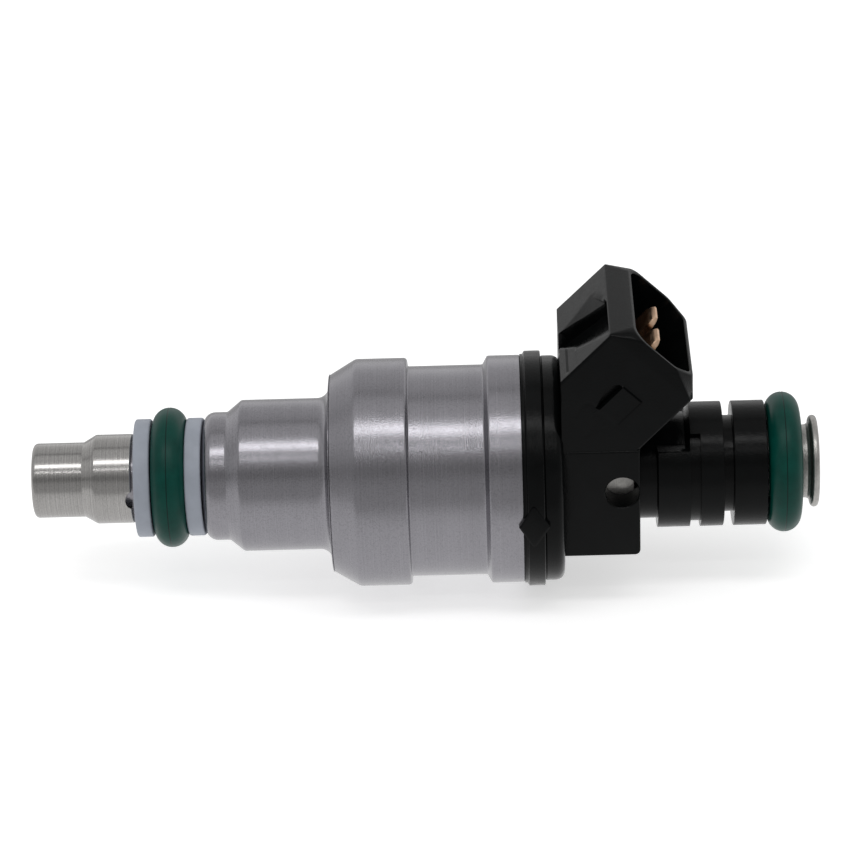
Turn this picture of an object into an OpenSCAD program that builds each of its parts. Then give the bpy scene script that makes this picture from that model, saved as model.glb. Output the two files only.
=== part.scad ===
// Electromagnetic fuel injector, laid along X: spray tip at -X, fuel inlet at +X, electrical socket up.
// The origin is the centre of the nozzle sealing ring. "Station" is a place along X.

/* [Sealing rings] */
// Distance between the centres of the two sealing rings
seal_span = 64.2; // [64:0.1:64.4]
// Radius of the circle through the middle of a ring's section
seal_mid_r = 5.585; // [5.58:0.005:5.6]
// Thickness of a ring's round section
seal_section = 3.53; // [3.5:0.01:3.54]
// Radius of the two plastic washers beside the nozzle ring
washer_r = 6.2; // [5.5:0.1:6.5]
// Thickness of the washers
washer_t = 1.7; // [1.2:0.1:1.7]

/* [Spray tip] */
// Station of the front face
tip_face = -14.4; // [-14.6:0.1:-14.2]
// Radius of the front of the cap
tip_r = 3.925; // [3.8:0.025:4.1]
// Radius of the cap's rear shoulder, which pilots in the manifold
tip_pilot_r = 4.685; // [4.5:0.005:4.8]
// Station of the cap's rear edge
tip_rear = -3.9; // [-4:0.05:-3.85]
// Radius of the opening in the front face
tip_mouth_r = 2.8; // [2.2:0.1:3.2]
// Number of spray holes in the orifice disc
spray_holes = 4; // [2:1:8]

/* [Valve body] */
// Radius of the slim stem that carries the nozzle ring
stem_r = 3.78; // [3.76:0.01:3.79]
// Station of the front face of the thicker part
body_front = 3.58; // [3.56:0.01:3.7]
// Radius of the front collar
collar_r = 6.73; // [6.4:0.01:6.9]
// Radius of the main barrel
barrel_r = 7.95; // [7.6:0.05:8.1]
// Station where the barrel starts to flare
flare_start = 14.3; // [14:0.1:14.4]
// Radius of the concave flare
flare_round = 2.45; // [2.3:0.05:2.45]

/* [Solenoid housing] */
// Radius of the steel housing
housing_r = 11.93; // [11.7:0.01:12]
// Radius of the waist rolled into it
waist_r = 11.02; // [10.8:0.01:11.3]
// Stations where the waist starts and ends
waist_x = [25.1, 33];
// Station of the housing's rear end
housing_rear = 36.9; // [36.8:0.05:37]

/* [Plastic overmould] */
// Radius of the ring behind the steel housing
ring_r = 12.34; // [12.2:0.01:12.5]
// Radius of the dome behind the ring
dome_r = 11.8; // [11.5:0.05:12]
// Half width of the block under the socket
block_half_w = 8.35; // [8.2:0.05:8.6]
// Stations of the block's front and rear faces
block_x = [40.8, 48.95];
// Heights of the block's lower and upper faces
block_z = [-6, 6.4];
// Diameter of the side hole in the block
side_hole_d = 3.5; // [3:0.1:3.8]
// Radius of the neck between block and collars
neck_r = 5.55; // [5.3:0.05:5.8]
// Radius of the two collars that the retaining clip sits between
clip_collar_r = 6.55; // [6.4:0.05:6.8]
// Radius at the bottom of the clip groove
clip_groove_r = 5.05; // [4.8:0.05:5.3]
// Stations of the clip groove
clip_groove_x = [57.8, 58.85];

/* [Electrical socket] */
// Angle between the socket and the injector's axis
socket_tilt = 46; // [45:0.5:47]
// Half width of the socket's outer walls
socket_half_w = 8.2; // [8.1:0.05:8.4]
// Length of the straight outer walls, along the socket
socket_wall_a = 14.95; // [14.5:0.05:15]
// Length out to the thin lip
socket_lip_a = 16.55; // [16.5:0.05:16.8]
// Length at which the cavity's floor lies
socket_floor_a = 7.6; // [7.5:0.1:8]
// Distance between the centres of the two terminals
terminal_pitch = 4.9; // [4.8:0.1:5.2]
// Width of a terminal blade
terminal_w = 3.6; // [3.2:0.1:3.8]
// Thickness of a terminal blade
terminal_t = 0.7; // [0.6:0.05:0.8]

/* [Inlet] */
// Outer radius of the inlet tube under the rail ring
inlet_r = 3.8; // [3.75:0.01:3.81]
// Radius of the flange that keeps the rail ring on
inlet_flange_r = 4.82; // [4.6:0.01:5]
// Station of the inlet's rear face
inlet_face = 67.8; // [67.7:0.05:67.9]
// Radius of the fuel bore
inlet_bore_r = 3.05; // [2.9:0.05:3.1]

/* [Inner parts] */
// Travel of the needle between its seat and the lift stop
needle_lift = 0.12; // [0.06:0.01:0.12]
// Radius of the needle
needle_r = 0.9; // [0.8:0.02:0.9]
// Radius of the armature
armature_r = 3.98; // [3.97:0.005:4]
// Wire thickness of the return spring
spring_wire = 0.4; // [0.3:0.05:0.45]
// Turns of the return spring
spring_turns = 8; // [6:1:10]

/* [Hidden] */

round_fn = 96;
fit = 0.02;             // room between pieces that are pressed, moulded or welded together
bore_r = 2.25;          // bore of the valve body around the needle
seat_rear = -9.5;       // station of the valve seat's rear face
seat_front = -12;       // station of its front face
seat_cone_x = -11.05;   // station where the seat's cone meets its exit hole
seat_exit_r = 0.35;
stop_step = 13.6;       // station of the step that the lift stop lies on
stop_t = 1;
chamber_r = 4.25;       // bore of the valve body around the armature
spigot_r = 9;           // rear end of the valve body, inside the housing
spigot_rear = 18.6;
flange_rear = 17;       // station of the joint between valve body and housing
armature_x = [14.9, 21];
pocket_x = 18;          // floor of the spring pocket in the armature
pocket_r = 1.65;
pole_face = 21.25;
pole_bore_r = 1.7;
sleeve_r = [4.05, 4.55];
sleeve_rear = 27;
tube_joint = 44;        // weld between pole piece and inlet tube
grip_x = [44.6, 48.5];  // collar of the inlet tube that the plastic grips
grip_r = 5.6;
side_hole_x = 47.1;
side_hole_z = 1.5;
spring_rear = 29;       // face of the adjusting tube that the spring leans on
spring_mid_r = 1.2;
adjuster_rear = 39;
coil_x = [20.5, 35];    // outer faces of the bobbin's two flanges
coil_flange_t = 0.8;
coil_flange_r = 9.8;
housing_bore_r = 10.1;
washer_x = [35.9, 36.86];
post_x = 36.9;          // end of the bobbin's posts and start of the terminals
post_half_w = 4.6;
post_z = [6.3, 8.7];
step_x = [52, 52.6];    // where the inlet tube steps down
socket_x = 45;          // station where the socket's reference line leaves the axis
terminal_c = -7.2;      // offset of the terminals' middle plane from that line
terminal_a = [3.2, 16.3];
terminal_foot_z = 7.5;
terminal_foot_x = 42.3;
socket_back_c = -12.98;
recess_depth = 1.6;
socket_side_c = -1.75;
socket_front_c = -1;
socket_front_half_w = 7.4;
mouth_half = [          // half of the mouth's rounded outline: offset, half width, share of an inset
    [-11.4, 6.1, 1], [-10.8, 7.2, 0.8], [-9.6, 7.75, 0.3], [-7.5, 7.85, 0],
    [-5.6, 7.8, 0], [-4.1, 7.3, -0.3], [-3.2, 6.6, -0.8], [-2.85, 5.9, -1]
];
lip_t = 0.45;
pad_c = [-8.12, -5.4];  // latch pad on the socket's side walls
pad_a = [7.92, 11.56];
pad_t = 0.28;
filter_x = [53.6, 54.2, 62.4, 63.6];   // stations of the filter's cap, cage and collar
filter_mesh_r = [2.2, 2.3];

// Points of a circular arc in [station, radius] form
function arc(x, r, rad, from, to, steps = 6) =
    [for (i = [0:steps]) let(a = from + (to - from) * i / steps) [x + rad * cos(a), r + rad * sin(a)]];

// Points of the ring of a swept wire at one place of a coil along X
function coil_ring(x, turn, mid_r, wire_r, sides) =
    [for (k = [0:sides - 1]) let(a = 360 * k / sides, r = mid_r + wire_r * cos(a))
        [x + wire_r * sin(a), r * sin(turn), r * cos(turn)]];

// Solid of revolution about the injector's axis from [station, radius] points
module turned(points) {
    rotate([0, 90, 0])
        rotate_extrude($fn = round_fn)
            polygon([for (p = points) [p[1], p[0]]]);
}

// Plain tube between two stations
module sleeve(x, inner_r, outer_r) {
    turned([[x[0], inner_r], [x[1], inner_r], [x[1], outer_r], [x[0], outer_r]]);
}

// Round bar between two stations, which may stand off the axis
module bar(x, r, y = 0, z = 0) {
    translate([x[0], y, z])
        rotate([0, 90, 0])
            cylinder(r = r, h = x[1] - x[0], $fn = round_fn / 2);
}

// Rubber ring of round section
module round_ring(x, mid_r, section_r) {
    translate([x, 0, 0])
        rotate([0, 90, 0])
            rotate_extrude($fn = round_fn)
                translate([mid_r, 0])
                    circle(r = section_r, $fn = 48);
}

// Socket frame: X across the back and front walls, Y across the sides, Z out of the mouth
module in_socket() {
    translate([socket_x, 0, 0])
        rotate([0, 90 - socket_tilt, 0])
            children();
}

module spray_tip_cap() {
    color("silver")
        turned(concat(
            [[tip_face + 0.25, tip_mouth_r - 0.25], [tip_face, tip_mouth_r]],
            arc(tip_face + 0.5, tip_r - 0.5, 0.5, 180, 90, 4),
            [[-9.1, tip_r], [-7.8, tip_pilot_r], [tip_rear, tip_pilot_r], [tip_rear, stem_r + fit],
             [-7 - fit, stem_r + fit], [-7 - fit, 2.9 + fit], [-12.34, 2.9 + fit], [-12.34, 1.6]]));
}

module orifice_disc() {
    color("gainsboro")
        difference() {
            bar([-12.3, seat_front - fit], 2.88);
            for (i = [0:spray_holes - 1])
                bar([-13, -11], 0.14, 0.28 * cos(360 * i / spray_holes), 0.28 * sin(360 * i / spray_holes));
        }
}

module valve_seat() {
    color("gainsboro")
        turned([[seat_front, seat_exit_r], [seat_cone_x, seat_exit_r], [seat_cone_x + 1.15, 1.5],
                [seat_rear, 1.5], [seat_rear, bore_r - fit], [-10.5, bore_r - fit], [-10.5, 1.6],
                [-11.3, 1.6], [-11.3, bore_r - fit], [seat_front, bore_r - fit]]);
}

module seat_seal_ring() {
    color("dimgray")
        round_ring(-10.9, 1.93, 0.3);
}

module valve_body() {
    color("lightsteelblue")
        turned(concat(
            [[seat_front, bore_r], [stop_step, bore_r], [stop_step, chamber_r], [spigot_rear, chamber_r],
             [spigot_rear, spigot_r], [flange_rear, spigot_r],
             [flange_rear, barrel_r + flare_round - 0.12],
             [flange_rear - 0.12, barrel_r + flare_round]],
            arc(flare_start, barrel_r + flare_round, flare_round, 0, -90),
            [[7.6, barrel_r], [6.1, collar_r]],
            arc(body_front + 1.4, collar_r - 1.4, 1.4, 90, 180),
            [[body_front, stem_r], [-7, stem_r], [-7, 2.9], [seat_front, 2.9]]));
}

module nozzle_washer(x) {
    color("lightslategray")
        sleeve([x, x + washer_t], stem_r + 0.1, washer_r);
}

module nozzle_retainer_washer() {
    nozzle_washer(-3.6);
}

module nozzle_spacer_washer() {
    nozzle_washer(1.84);
}

module nozzle_o_ring() {
    color("darkgreen")
        round_ring(0, seal_mid_r, seal_section / 2);
}

module rail_o_ring() {
    color("darkgreen")
        round_ring(seal_span, seal_mid_r, seal_section / 2);
}

module needle_guide() {
    color("gainsboro")
        difference() {
            sleeve([-8.9, -7.6], needle_r + 0.03, bore_r - fit);
            for (a = [0:90:270])
                bar([-9.5, -7], 0.3, 1.6 * cos(a), 1.6 * sin(a));
        }
}

module needle() {
    cone_gap = 0.03;
    cone_end = seat_cone_x + needle_r - seat_exit_r + cone_gap;
    stop_face = stop_step - needle_lift - fit;
    color("gainsboro")
        turned([[cone_end - needle_r + 0.3, 0], [cone_end - needle_r + 0.3, 0.3], [cone_end, needle_r],
                [stop_face - 1.05, needle_r], [stop_face - 1.05, 1.9], [stop_face, 1.9],
                [stop_face, needle_r], [pocket_x - fit, needle_r], [pocket_x - fit, 0]]);
}

module lift_stop_shim() {
    color("gray")
        difference() {
            sleeve([stop_step + fit, stop_step + stop_t], needle_r + 0.3, chamber_r - 0.05);
            translate([stop_step - 1, -needle_r - 0.2, 0])
                cube([stop_t + 2, 2 * needle_r + 0.4, chamber_r + 1]);
        }
}

module armature() {
    color("slategray")
        difference() {
            turned([[armature_x[0], needle_r + fit], [pocket_x, needle_r + fit], [pocket_x, pocket_r],
                    [armature_x[1], pocket_r], [armature_x[1], armature_r - 0.2],
                    [armature_x[1] - 0.2, armature_r], [armature_x[0] + 0.2, armature_r],
                    [armature_x[0], armature_r - 0.2]]);
            for (a = [30, 150, 270])
                bar([armature_x[0] - 1, armature_x[1] + 1], 0.5, 2.75 * cos(a), 2.75 * sin(a));
        }
}

module return_spring() {
    sides = 8;
    steps = 20;
    wire_r = spring_wire / 2;
    start = pocket_x + fit + wire_r;
    length = spring_rear - fit - wire_r - start;
    rings = steps * spring_turns;
    points = [for (i = [0:rings])
        each coil_ring(start + length * i / rings, 360 * i / steps, spring_mid_r, wire_r, sides)];
    walls = [for (i = [0:rings - 1], k = [0:sides - 1])
        let(a = i * sides + k, b = i * sides + (k + 1) % sides) [a, b, b + sides, a + sides]];
    ends = [[for (k = [sides - 1:-1:0]) k], [for (k = [0:sides - 1]) rings * sides + k]];
    color("dimgray")
        polyhedron(points, concat(walls, ends), convexity = 10);
}

module adjusting_tube() {
    color("gray")
        sleeve([spring_rear, adjuster_rear], 0.9, pole_bore_r - 0.03);
}

module pole_piece() {
    color("slategray")
        turned([[pole_face, pole_bore_r], [tube_joint, pole_bore_r], [tube_joint, sleeve_r[1]],
                [sleeve_rear + fit, sleeve_r[1]], [sleeve_rear + fit, sleeve_r[0] - fit],
                [pole_face, sleeve_r[0] - fit]]);
}

module nonmagnetic_sleeve() {
    color("silver")
        sleeve([spigot_rear + fit, sleeve_rear], sleeve_r[0], sleeve_r[1]);
}

module coil_bobbin() {
    hub_r = 5.3;
    hub_bore_r = sleeve_r[1] + 0.05;
    color("saddlebrown")
        union() {
            turned([[coil_x[0], hub_bore_r], [coil_x[1], hub_bore_r], [coil_x[1], coil_flange_r],
                    [coil_x[1] - coil_flange_t, coil_flange_r], [coil_x[1] - coil_flange_t, hub_r],
                    [coil_x[0] + coil_flange_t, hub_r], [coil_x[0] + coil_flange_t, coil_flange_r],
                    [coil_x[0], coil_flange_r]]);
            translate([coil_x[1] - coil_flange_t / 2, -post_half_w, post_z[0]])
                cube([post_x - fit - coil_x[1] + coil_flange_t / 2, 2 * post_half_w, post_z[1] - post_z[0]]);
        }
}

module coil_winding() {
    color("peru")
        sleeve([coil_x[0] + coil_flange_t + fit, coil_x[1] - coil_flange_t - fit], 5.3 + fit, 9.3);
}

module lower_coil_seal() {
    color("dimgray")
        round_ring((spigot_rear + coil_x[0]) / 2, 5.52, 0.9);
}

module upper_coil_seal() {
    color("dimgray")
        round_ring((coil_x[1] + washer_x[0]) / 2, 5.1, 0.42);
}

module flux_washer() {
    color("slategray")
        difference() {
            sleeve(washer_x, sleeve_r[1] + fit, housing_bore_r - fit);
            translate([washer_x[0] - 1, -post_half_w - 0.1, post_z[0] - 0.1])
                cube([4, 2 * post_half_w + 0.2, post_z[1] - post_z[0] + 0.2]);
        }
}

module solenoid_housing() {
    color("lightsteelblue")
        turned([[flange_rear + fit, spigot_r + fit], [spigot_rear + 0.4, spigot_r + fit],
                [spigot_rear + 1.5, housing_bore_r], [housing_rear, housing_bore_r],
                [housing_rear, housing_r], [waist_x[1] + 0.5, housing_r], [waist_x[1], waist_r],
                [waist_x[0], waist_r], [waist_x[0], housing_r], [19.7, housing_r],
                [flange_rear + 0.12, barrel_r + flare_round],
                [flange_rear + fit, barrel_r + flare_round - 0.1]]);
}

// Outline of a wall of the socket, across it: full width at the back, corners cut at the front
function socket_outline(back, side, front, half_w, front_half_w) =
    [[back, -half_w], [side, -half_w], [front, -front_half_w],
     [front, front_half_w], [side, half_w], [back, half_w]];

// Mouth of the socket, drawn in by an inset
module socket_mouth(inset) {
    near = [for (p = mouth_half) [p[0] + inset * p[2], inset - p[1]]];
    polygon(concat(near, [for (i = [len(near) - 1:-1:0]) [near[i][0], -near[i][1]]]));
}

module socket_walls() {
    outline = socket_outline(socket_back_c, socket_side_c, socket_front_c,
                             socket_half_w, socket_front_half_w);
    in_socket()
        linear_extrude(socket_wall_a)
            polygon(outline);
    in_socket()
        hull() {
            translate([0, 0, socket_wall_a - 0.01])
                linear_extrude(0.01)
                    polygon(outline);
            translate([0, 0, socket_lip_a - 0.01])
                linear_extrude(0.01)
                    socket_mouth(0);
        }
}

// Keying recess in the back wall, deep along its far side and running out towards the near side
module back_recess() {
    outside = socket_back_c - 1;
    floor_c = socket_back_c + recess_depth;
    in_socket()
        intersection() {
            translate([outside, 0, 0])
                rotate([0, 90, 0])
                    linear_extrude(recess_depth + 2)
                        polygon([[0, 1.9], [-7.6, 2.1], [-12.4, 3.85], [-14.8, 0], [-14.7, -6.8],
                                 [-9.95, -4.1], [-7.85, -1.1], [0, -1]]);
            linear_extrude(socket_wall_a)
                polygon([[outside, 4.5], [floor_c, 4.3], [floor_c, 1],
                         [socket_back_c, -6.8], [outside, -6.8]]);
        }
}

// Latch pads on both side walls
module latch_pad() {
    in_socket()
        for (side = [-1, 1])
            translate([pad_c[0], side * socket_half_w - (side > 0 ? 1 : pad_t), pad_a[0]])
                cube([pad_c[1] - pad_c[0], 1 + pad_t, pad_a[1] - pad_a[0]]);
}

// Pockets beside the latch pads
module latch_pocket() {
    depth = 1.2;
    in_socket()
        for (side = [-1, 1])
            translate([0, side * socket_half_w + depth, 0])
                rotate([90, 0, 0])
                    linear_extrude(2 * depth)
                        polygon([[pad_c[0], pad_a[0]], [pad_c[0], pad_a[1] - 0.2],
                                 [pad_c[0] - 0.35, pad_a[1] - 0.3], [pad_c[0] - 0.95, pad_a[0] + 2.4]]);
}

// Outside of the socket, cut off square at its back and over the block
module socket_shell() {
    intersection() {
        difference() {
            union() {
                socket_walls();
                latch_pad();
            }
            back_recess();
            latch_pocket();
        }
        translate([block_x[0], -20, block_z[1] - 0.1])
            cube([40, 40, 40]);
    }
}

// One terminal: a foot along the injector, then a blade along the socket
module terminal_metal(side, grow) {
    y = side * terminal_pitch / 2;
    foot_half_w = 1;
    half_w = terminal_w / 2 + grow;
    translate([post_x, y - foot_half_w - grow, terminal_foot_z - terminal_t / 2 - grow])
        cube([terminal_foot_x - post_x, 2 * (foot_half_w + grow), terminal_t + 2 * grow]);
    in_socket()
        translate([terminal_c - terminal_t / 2 - grow, y, 0])
            rotate([0, 90, 0])
                linear_extrude(terminal_t + 2 * grow)
                    polygon([[-terminal_a[0], -half_w], [-terminal_a[0], half_w],
                             [-terminal_a[1] + 1.1, half_w], [-terminal_a[1], terminal_w / 2 - 0.5],
                             [-terminal_a[1], 0.5 - terminal_w / 2], [-terminal_a[1] + 1.1, -half_w]]);
}

module terminal_left() {
    color("goldenrod")
        terminal_metal(-1, 0);
}

module terminal_right() {
    color("goldenrod")
        terminal_metal(1, 0);
}

// Ring, dome, neck and collars, round the injector's axis
module overmold_round() {
    slot_x = [54.3, 55.4];
    slot_depth = 0.6;
    open_top = 32;          // half of the angle over which the slot is left out
    collar_x = [50.9, 62.3];
    flat_z = 4.3;
    turned(concat(
        [[housing_rear + fit, 4.6], [housing_rear + fit, 12], [37.2, 12], [37.4, ring_r], [38.95, ring_r],
         [39.05, ring_r - 0.1], [39.05, dome_r - 0.1], [39.2, dome_r]],
        arc(39.2, dome_r - 1.9, 1.9, 90, 0),
        [[41.1, neck_r], [clip_groove_x[0], neck_r], [clip_groove_x[0], clip_groove_r],
         [clip_groove_x[1], clip_groove_r], [clip_groove_x[1], 4.6]]));
    difference() {
        sleeve([collar_x[0], clip_groove_x[0]], 4.6, clip_collar_r);
        translate([collar_x[0] - 1, -10, flat_z])
            cube([slot_x[0] - collar_x[0] + 1, 20, 10]);
        translate([slot_x[0], 0, 0])
            rotate([0, 90, 0])
                rotate([0, 0, open_top])
                    rotate_extrude(angle = 360 - 2 * open_top, $fn = round_fn)
                        translate([clip_collar_r - slot_depth, 0])
                            square([2, slot_x[1] - slot_x[0]]);
    }
    sleeve([clip_groove_x[1], collar_x[1]], 4.6, clip_collar_r);
}

module overmold() {
    gate = [36.6, 38.1, 39.9];
    color("#202224")
        difference() {
            union() {
                overmold_round();
                translate([block_x[0], -block_half_w, block_z[0]])
                    cube([block_x[1] - block_x[0], 2 * block_half_w, block_z[1] - block_z[0]]);
                socket_shell();
                translate([0, -ring_r + 0.6, 0])
                    rotate([90, 0, 0])
                        linear_extrude(0.7)
                            polygon([[gate[0], 0], [gate[1], -2.5], [gate[2], 0], [gate[1], 2.5]]);
            }
            turned([[housing_rear - 1, 0], [70, 0], [70, inlet_r + 0.05 + fit],
                    [step_x[1] + fit, inlet_r + 0.05 + fit], [step_x[0] + fit, sleeve_r[1] + fit],
                    [grip_x[1] + fit, sleeve_r[1] + fit], [grip_x[1] + fit, grip_r + fit],
                    [grip_x[0] - fit, grip_r + fit], [grip_x[0] - fit, sleeve_r[1] + fit],
                    [housing_rear - 1, sleeve_r[1] + fit]]);
            translate([0, -30, -30])
                cube([housing_rear + fit, 60, 60]);
            in_socket()
                translate([0, 0, socket_floor_a])
                    linear_extrude(20)
                        socket_mouth(lip_t);
            for (side = [-1, 1])
                terminal_metal(side, fit);
            translate([side_hole_x, -block_half_w - 1, side_hole_z])
                rotate([-90, 0, 0])
                    cylinder(d = side_hole_d, h = 2 * block_half_w + 2, $fn = 48);
        }
}

module inlet_tube() {
    color("silver")
        turned(concat(
            [[tube_joint + fit, inlet_bore_r], [inlet_face - 0.7, inlet_bore_r], [inlet_face - 0.1, 3.7],
             [inlet_face, 3.9]],
            arc(inlet_face - 0.4, inlet_flange_r - 0.4, 0.4, 0, 180, 6),
            [[66.96, inlet_r + 0.25], [66.6, inlet_r + 0.05], [66.1, inlet_r], [62.5, inlet_r],
             [62.3, inlet_r + 0.05], [step_x[1], inlet_r + 0.05], [step_x[0], sleeve_r[1]],
             [grip_x[1], sleeve_r[1]], [grip_x[1], grip_r], [grip_x[0], grip_r], [grip_x[0], sleeve_r[1]],
             [tube_joint + fit, sleeve_r[1]]]));
}

module inlet_filter_frame() {
    color("tan")
        union() {
            bar([filter_x[0], filter_x[1]], 2.75);
            sleeve([filter_x[2], filter_x[3]], filter_mesh_r[1], inlet_bore_r - fit);
            for (a = [45:90:315])
                rotate([a, 0, 0])
                    translate([filter_x[1] - 0.1, -0.3, filter_mesh_r[1] + fit])
                        cube([filter_x[2] - filter_x[1] + 0.2, 0.6, 0.42]);
        }
}

module inlet_filter_mesh() {
    color("white")
        sleeve([filter_x[1] + fit, filter_x[2] - fit], filter_mesh_r[0], filter_mesh_r[1]);
}

spray_tip_cap();
orifice_disc();
valve_seat();
seat_seal_ring();
valve_body();
nozzle_retainer_washer();
nozzle_o_ring();
nozzle_spacer_washer();
needle_guide();
needle();
lift_stop_shim();
armature();
return_spring();
adjusting_tube();
pole_piece();
nonmagnetic_sleeve();
coil_bobbin();
coil_winding();
lower_coil_seal();
upper_coil_seal();
flux_washer();
solenoid_housing();
overmold();
terminal_left();
terminal_right();
inlet_tube();
inlet_filter_frame();
inlet_filter_mesh();
rail_o_ring();
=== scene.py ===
"""Looks of a top-feed fuel injector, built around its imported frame.

Sizes below are in millimetres and in the frame's own axes: X runs along the injector from the spray tip to
the fuel inlet, Z is up on the side of the electrical socket, and the origin is the middle of the nozzle ring.
A "station" is a place along X. Finished meshes are scaled to metres as they are made.
"""

import logging
import math
from dataclasses import dataclass, field
from enum import Enum
from typing import Callable, Iterable, Optional, Sequence, Union

import bpy
import numpy as np
from mathutils import Matrix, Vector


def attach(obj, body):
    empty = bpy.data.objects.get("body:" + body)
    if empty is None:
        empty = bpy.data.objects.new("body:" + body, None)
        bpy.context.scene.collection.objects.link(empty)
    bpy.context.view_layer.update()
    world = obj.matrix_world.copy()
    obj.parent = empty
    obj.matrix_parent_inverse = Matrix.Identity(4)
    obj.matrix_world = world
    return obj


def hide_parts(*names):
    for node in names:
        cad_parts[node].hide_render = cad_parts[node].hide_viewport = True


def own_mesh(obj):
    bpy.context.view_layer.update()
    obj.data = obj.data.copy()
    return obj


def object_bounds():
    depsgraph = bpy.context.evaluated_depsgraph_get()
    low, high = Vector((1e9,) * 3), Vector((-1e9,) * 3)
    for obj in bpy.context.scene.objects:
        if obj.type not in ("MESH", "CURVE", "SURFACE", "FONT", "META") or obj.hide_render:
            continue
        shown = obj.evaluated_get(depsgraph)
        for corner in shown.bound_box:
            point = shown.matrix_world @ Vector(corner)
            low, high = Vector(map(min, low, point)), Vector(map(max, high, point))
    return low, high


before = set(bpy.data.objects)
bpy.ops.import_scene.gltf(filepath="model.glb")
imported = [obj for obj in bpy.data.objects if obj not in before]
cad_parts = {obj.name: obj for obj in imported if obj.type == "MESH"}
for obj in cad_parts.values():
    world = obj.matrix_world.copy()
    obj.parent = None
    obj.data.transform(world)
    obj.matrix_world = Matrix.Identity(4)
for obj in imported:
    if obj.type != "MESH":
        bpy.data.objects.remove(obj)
CAD_BOX = [list(corner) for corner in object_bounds()]

logging.basicConfig(level=logging.INFO, format="%(message)s")
LOG = logging.getLogger("injector")

MM = 0.001
BODY = "injector_body"

Socket = bpy.types.NodeSocket
Value = Union[Socket, float]


class Slot(Enum):
    """Material slots of the record, one for each finish."""

    TIP = "tip_stainless"
    HARD = "hard_stainless"
    TURNED = "turned_steel"
    HOUSING = "housing_steel"
    INLET = "inlet_stainless"
    IRON = "magnet_iron"
    SPRING = "spring_steel"
    GREEN = "green_rubber"
    DARK_RUBBER = "black_rubber"
    WASHER = "washer_plastic"
    NYLON = "black_nylon"
    TERMINAL = "terminal_bronze"
    BOBBIN = "bobbin_plastic"
    WIRE = "enamelled_wire"
    FILTER = "filter_plastic"
    CLOTH = "filter_cloth"


# ---------------------------------------------------------------- outlines


def blend01(x: np.ndarray, low: float, high: float) -> np.ndarray:
    """Smooth step: 0 below low, 1 above high, and 3t^2 - 2t^3 between them.

    Args:
        x: Values to test.
        low: Where the step starts.
        high: Where it ends; it may lie below low, which turns the step round.

    Returns:
        Array like x, from 0 to 1.
    """
    t = np.clip((np.asarray(x, float) - low) / (high - low), 0.0, 1.0)
    return t * t * (3.0 - 2.0 * t)


def band(x: np.ndarray, low: float, high: float, soft: float) -> np.ndarray:
    """1 between low and high, 0 outside them, with soft edges centred on both."""
    half = soft / 2
    return blend01(x, low - half, low + half) * blend01(x, high + half, high - half)


def fillet(corners: Sequence[Sequence[float]], radii: Union[float, Sequence[float]],
           steps: int = 5) -> np.ndarray:
    """Closed outline whose corners are replaced by arcs.

    Each arc touches both sides of its corner. Its reach along them is radius / tan(half the corner's
    angle), and its points are the centre plus the radius times a direction that swings evenly between both
    touch points.

    Args:
        corners: Corner points in order, shape (N, D).
        radii: One radius, or one for each corner.
        steps: Pieces that each arc is cut into.

    Returns:
        Points of shape (N * (steps + 1), D).
    """
    p = np.asarray(corners, float)
    radius = np.maximum(np.broadcast_to(np.asarray(radii, float), (len(p),)), 1e-3)[:, None]
    back, ahead = np.roll(p, 1, 0) - p, np.roll(p, -1, 0) - p
    back_len, ahead_len = np.linalg.norm(back, axis=1)[:, None], np.linalg.norm(ahead, axis=1)[:, None]
    u, w = back / back_len, ahead / ahead_len
    half = np.arccos(np.clip((u * w).sum(1, keepdims=True), -0.99999, 0.99999)) / 2
    reach = np.minimum(radius / np.tan(half), 0.49 * np.minimum(back_len, ahead_len))
    radius = reach * np.tan(half)
    middle = (u + w) / np.linalg.norm(u + w, axis=1)[:, None]
    centre = p + middle * radius / np.sin(half)
    first, last = (p + u * reach - centre) / radius, (p + w * reach - centre) / radius
    swing = np.arccos(np.clip((first * last).sum(1), -1, 1))[:, None, None]
    s = np.linspace(0, 1, steps + 1)[None, :, None]
    arc = (np.sin((1 - s) * swing) * first[:, None] + np.sin(s * swing) * last[:, None]) / np.sin(swing)
    return (centre[:, None] + radius[:, None] * arc).reshape(-1, p.shape[1])


def thicken(outline: np.ndarray, longest: float) -> np.ndarray:
    """Closed outline with points added so that no stretch is longer than a given length.

    The outline is followed by its own length, and new points are dealt evenly along each stretch.

    Args:
        outline: Points of shape (N, D).
        longest: Longest stretch allowed.

    Returns:
        Points of shape (M, D), with all the old ones among them.
    """
    ahead = np.roll(outline, -1, 0)
    counts = np.maximum(1, np.ceil(np.linalg.norm(ahead - outline, axis=1) / longest)).astype(int)
    start = np.repeat(np.arange(len(outline)), counts)
    offset = np.arange(len(start)) - np.repeat(np.cumsum(counts) - counts, counts)
    share = (offset / counts[start])[:, None]
    return outline[start] * (1 - share) + ahead[start] * share


def spaced(keys: Sequence[float], longest: float) -> np.ndarray:
    """Numbers from the first key to the last, with every key among them.

    Args:
        keys: Numbers that have to be in the result, in order.
        longest: Longest gap allowed between neighbours.

    Returns:
        Array of numbers.
    """
    line = np.stack([np.asarray(keys, float), np.zeros(len(keys))], -1)
    closed = thicken(np.concatenate([line, line[-1:] + [[0, longest / 2]]]), longest)
    return closed[: np.flatnonzero(closed[:, 0] == keys[-1])[0] + 1, 0]


# ---------------------------------------------------------------- skins


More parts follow.
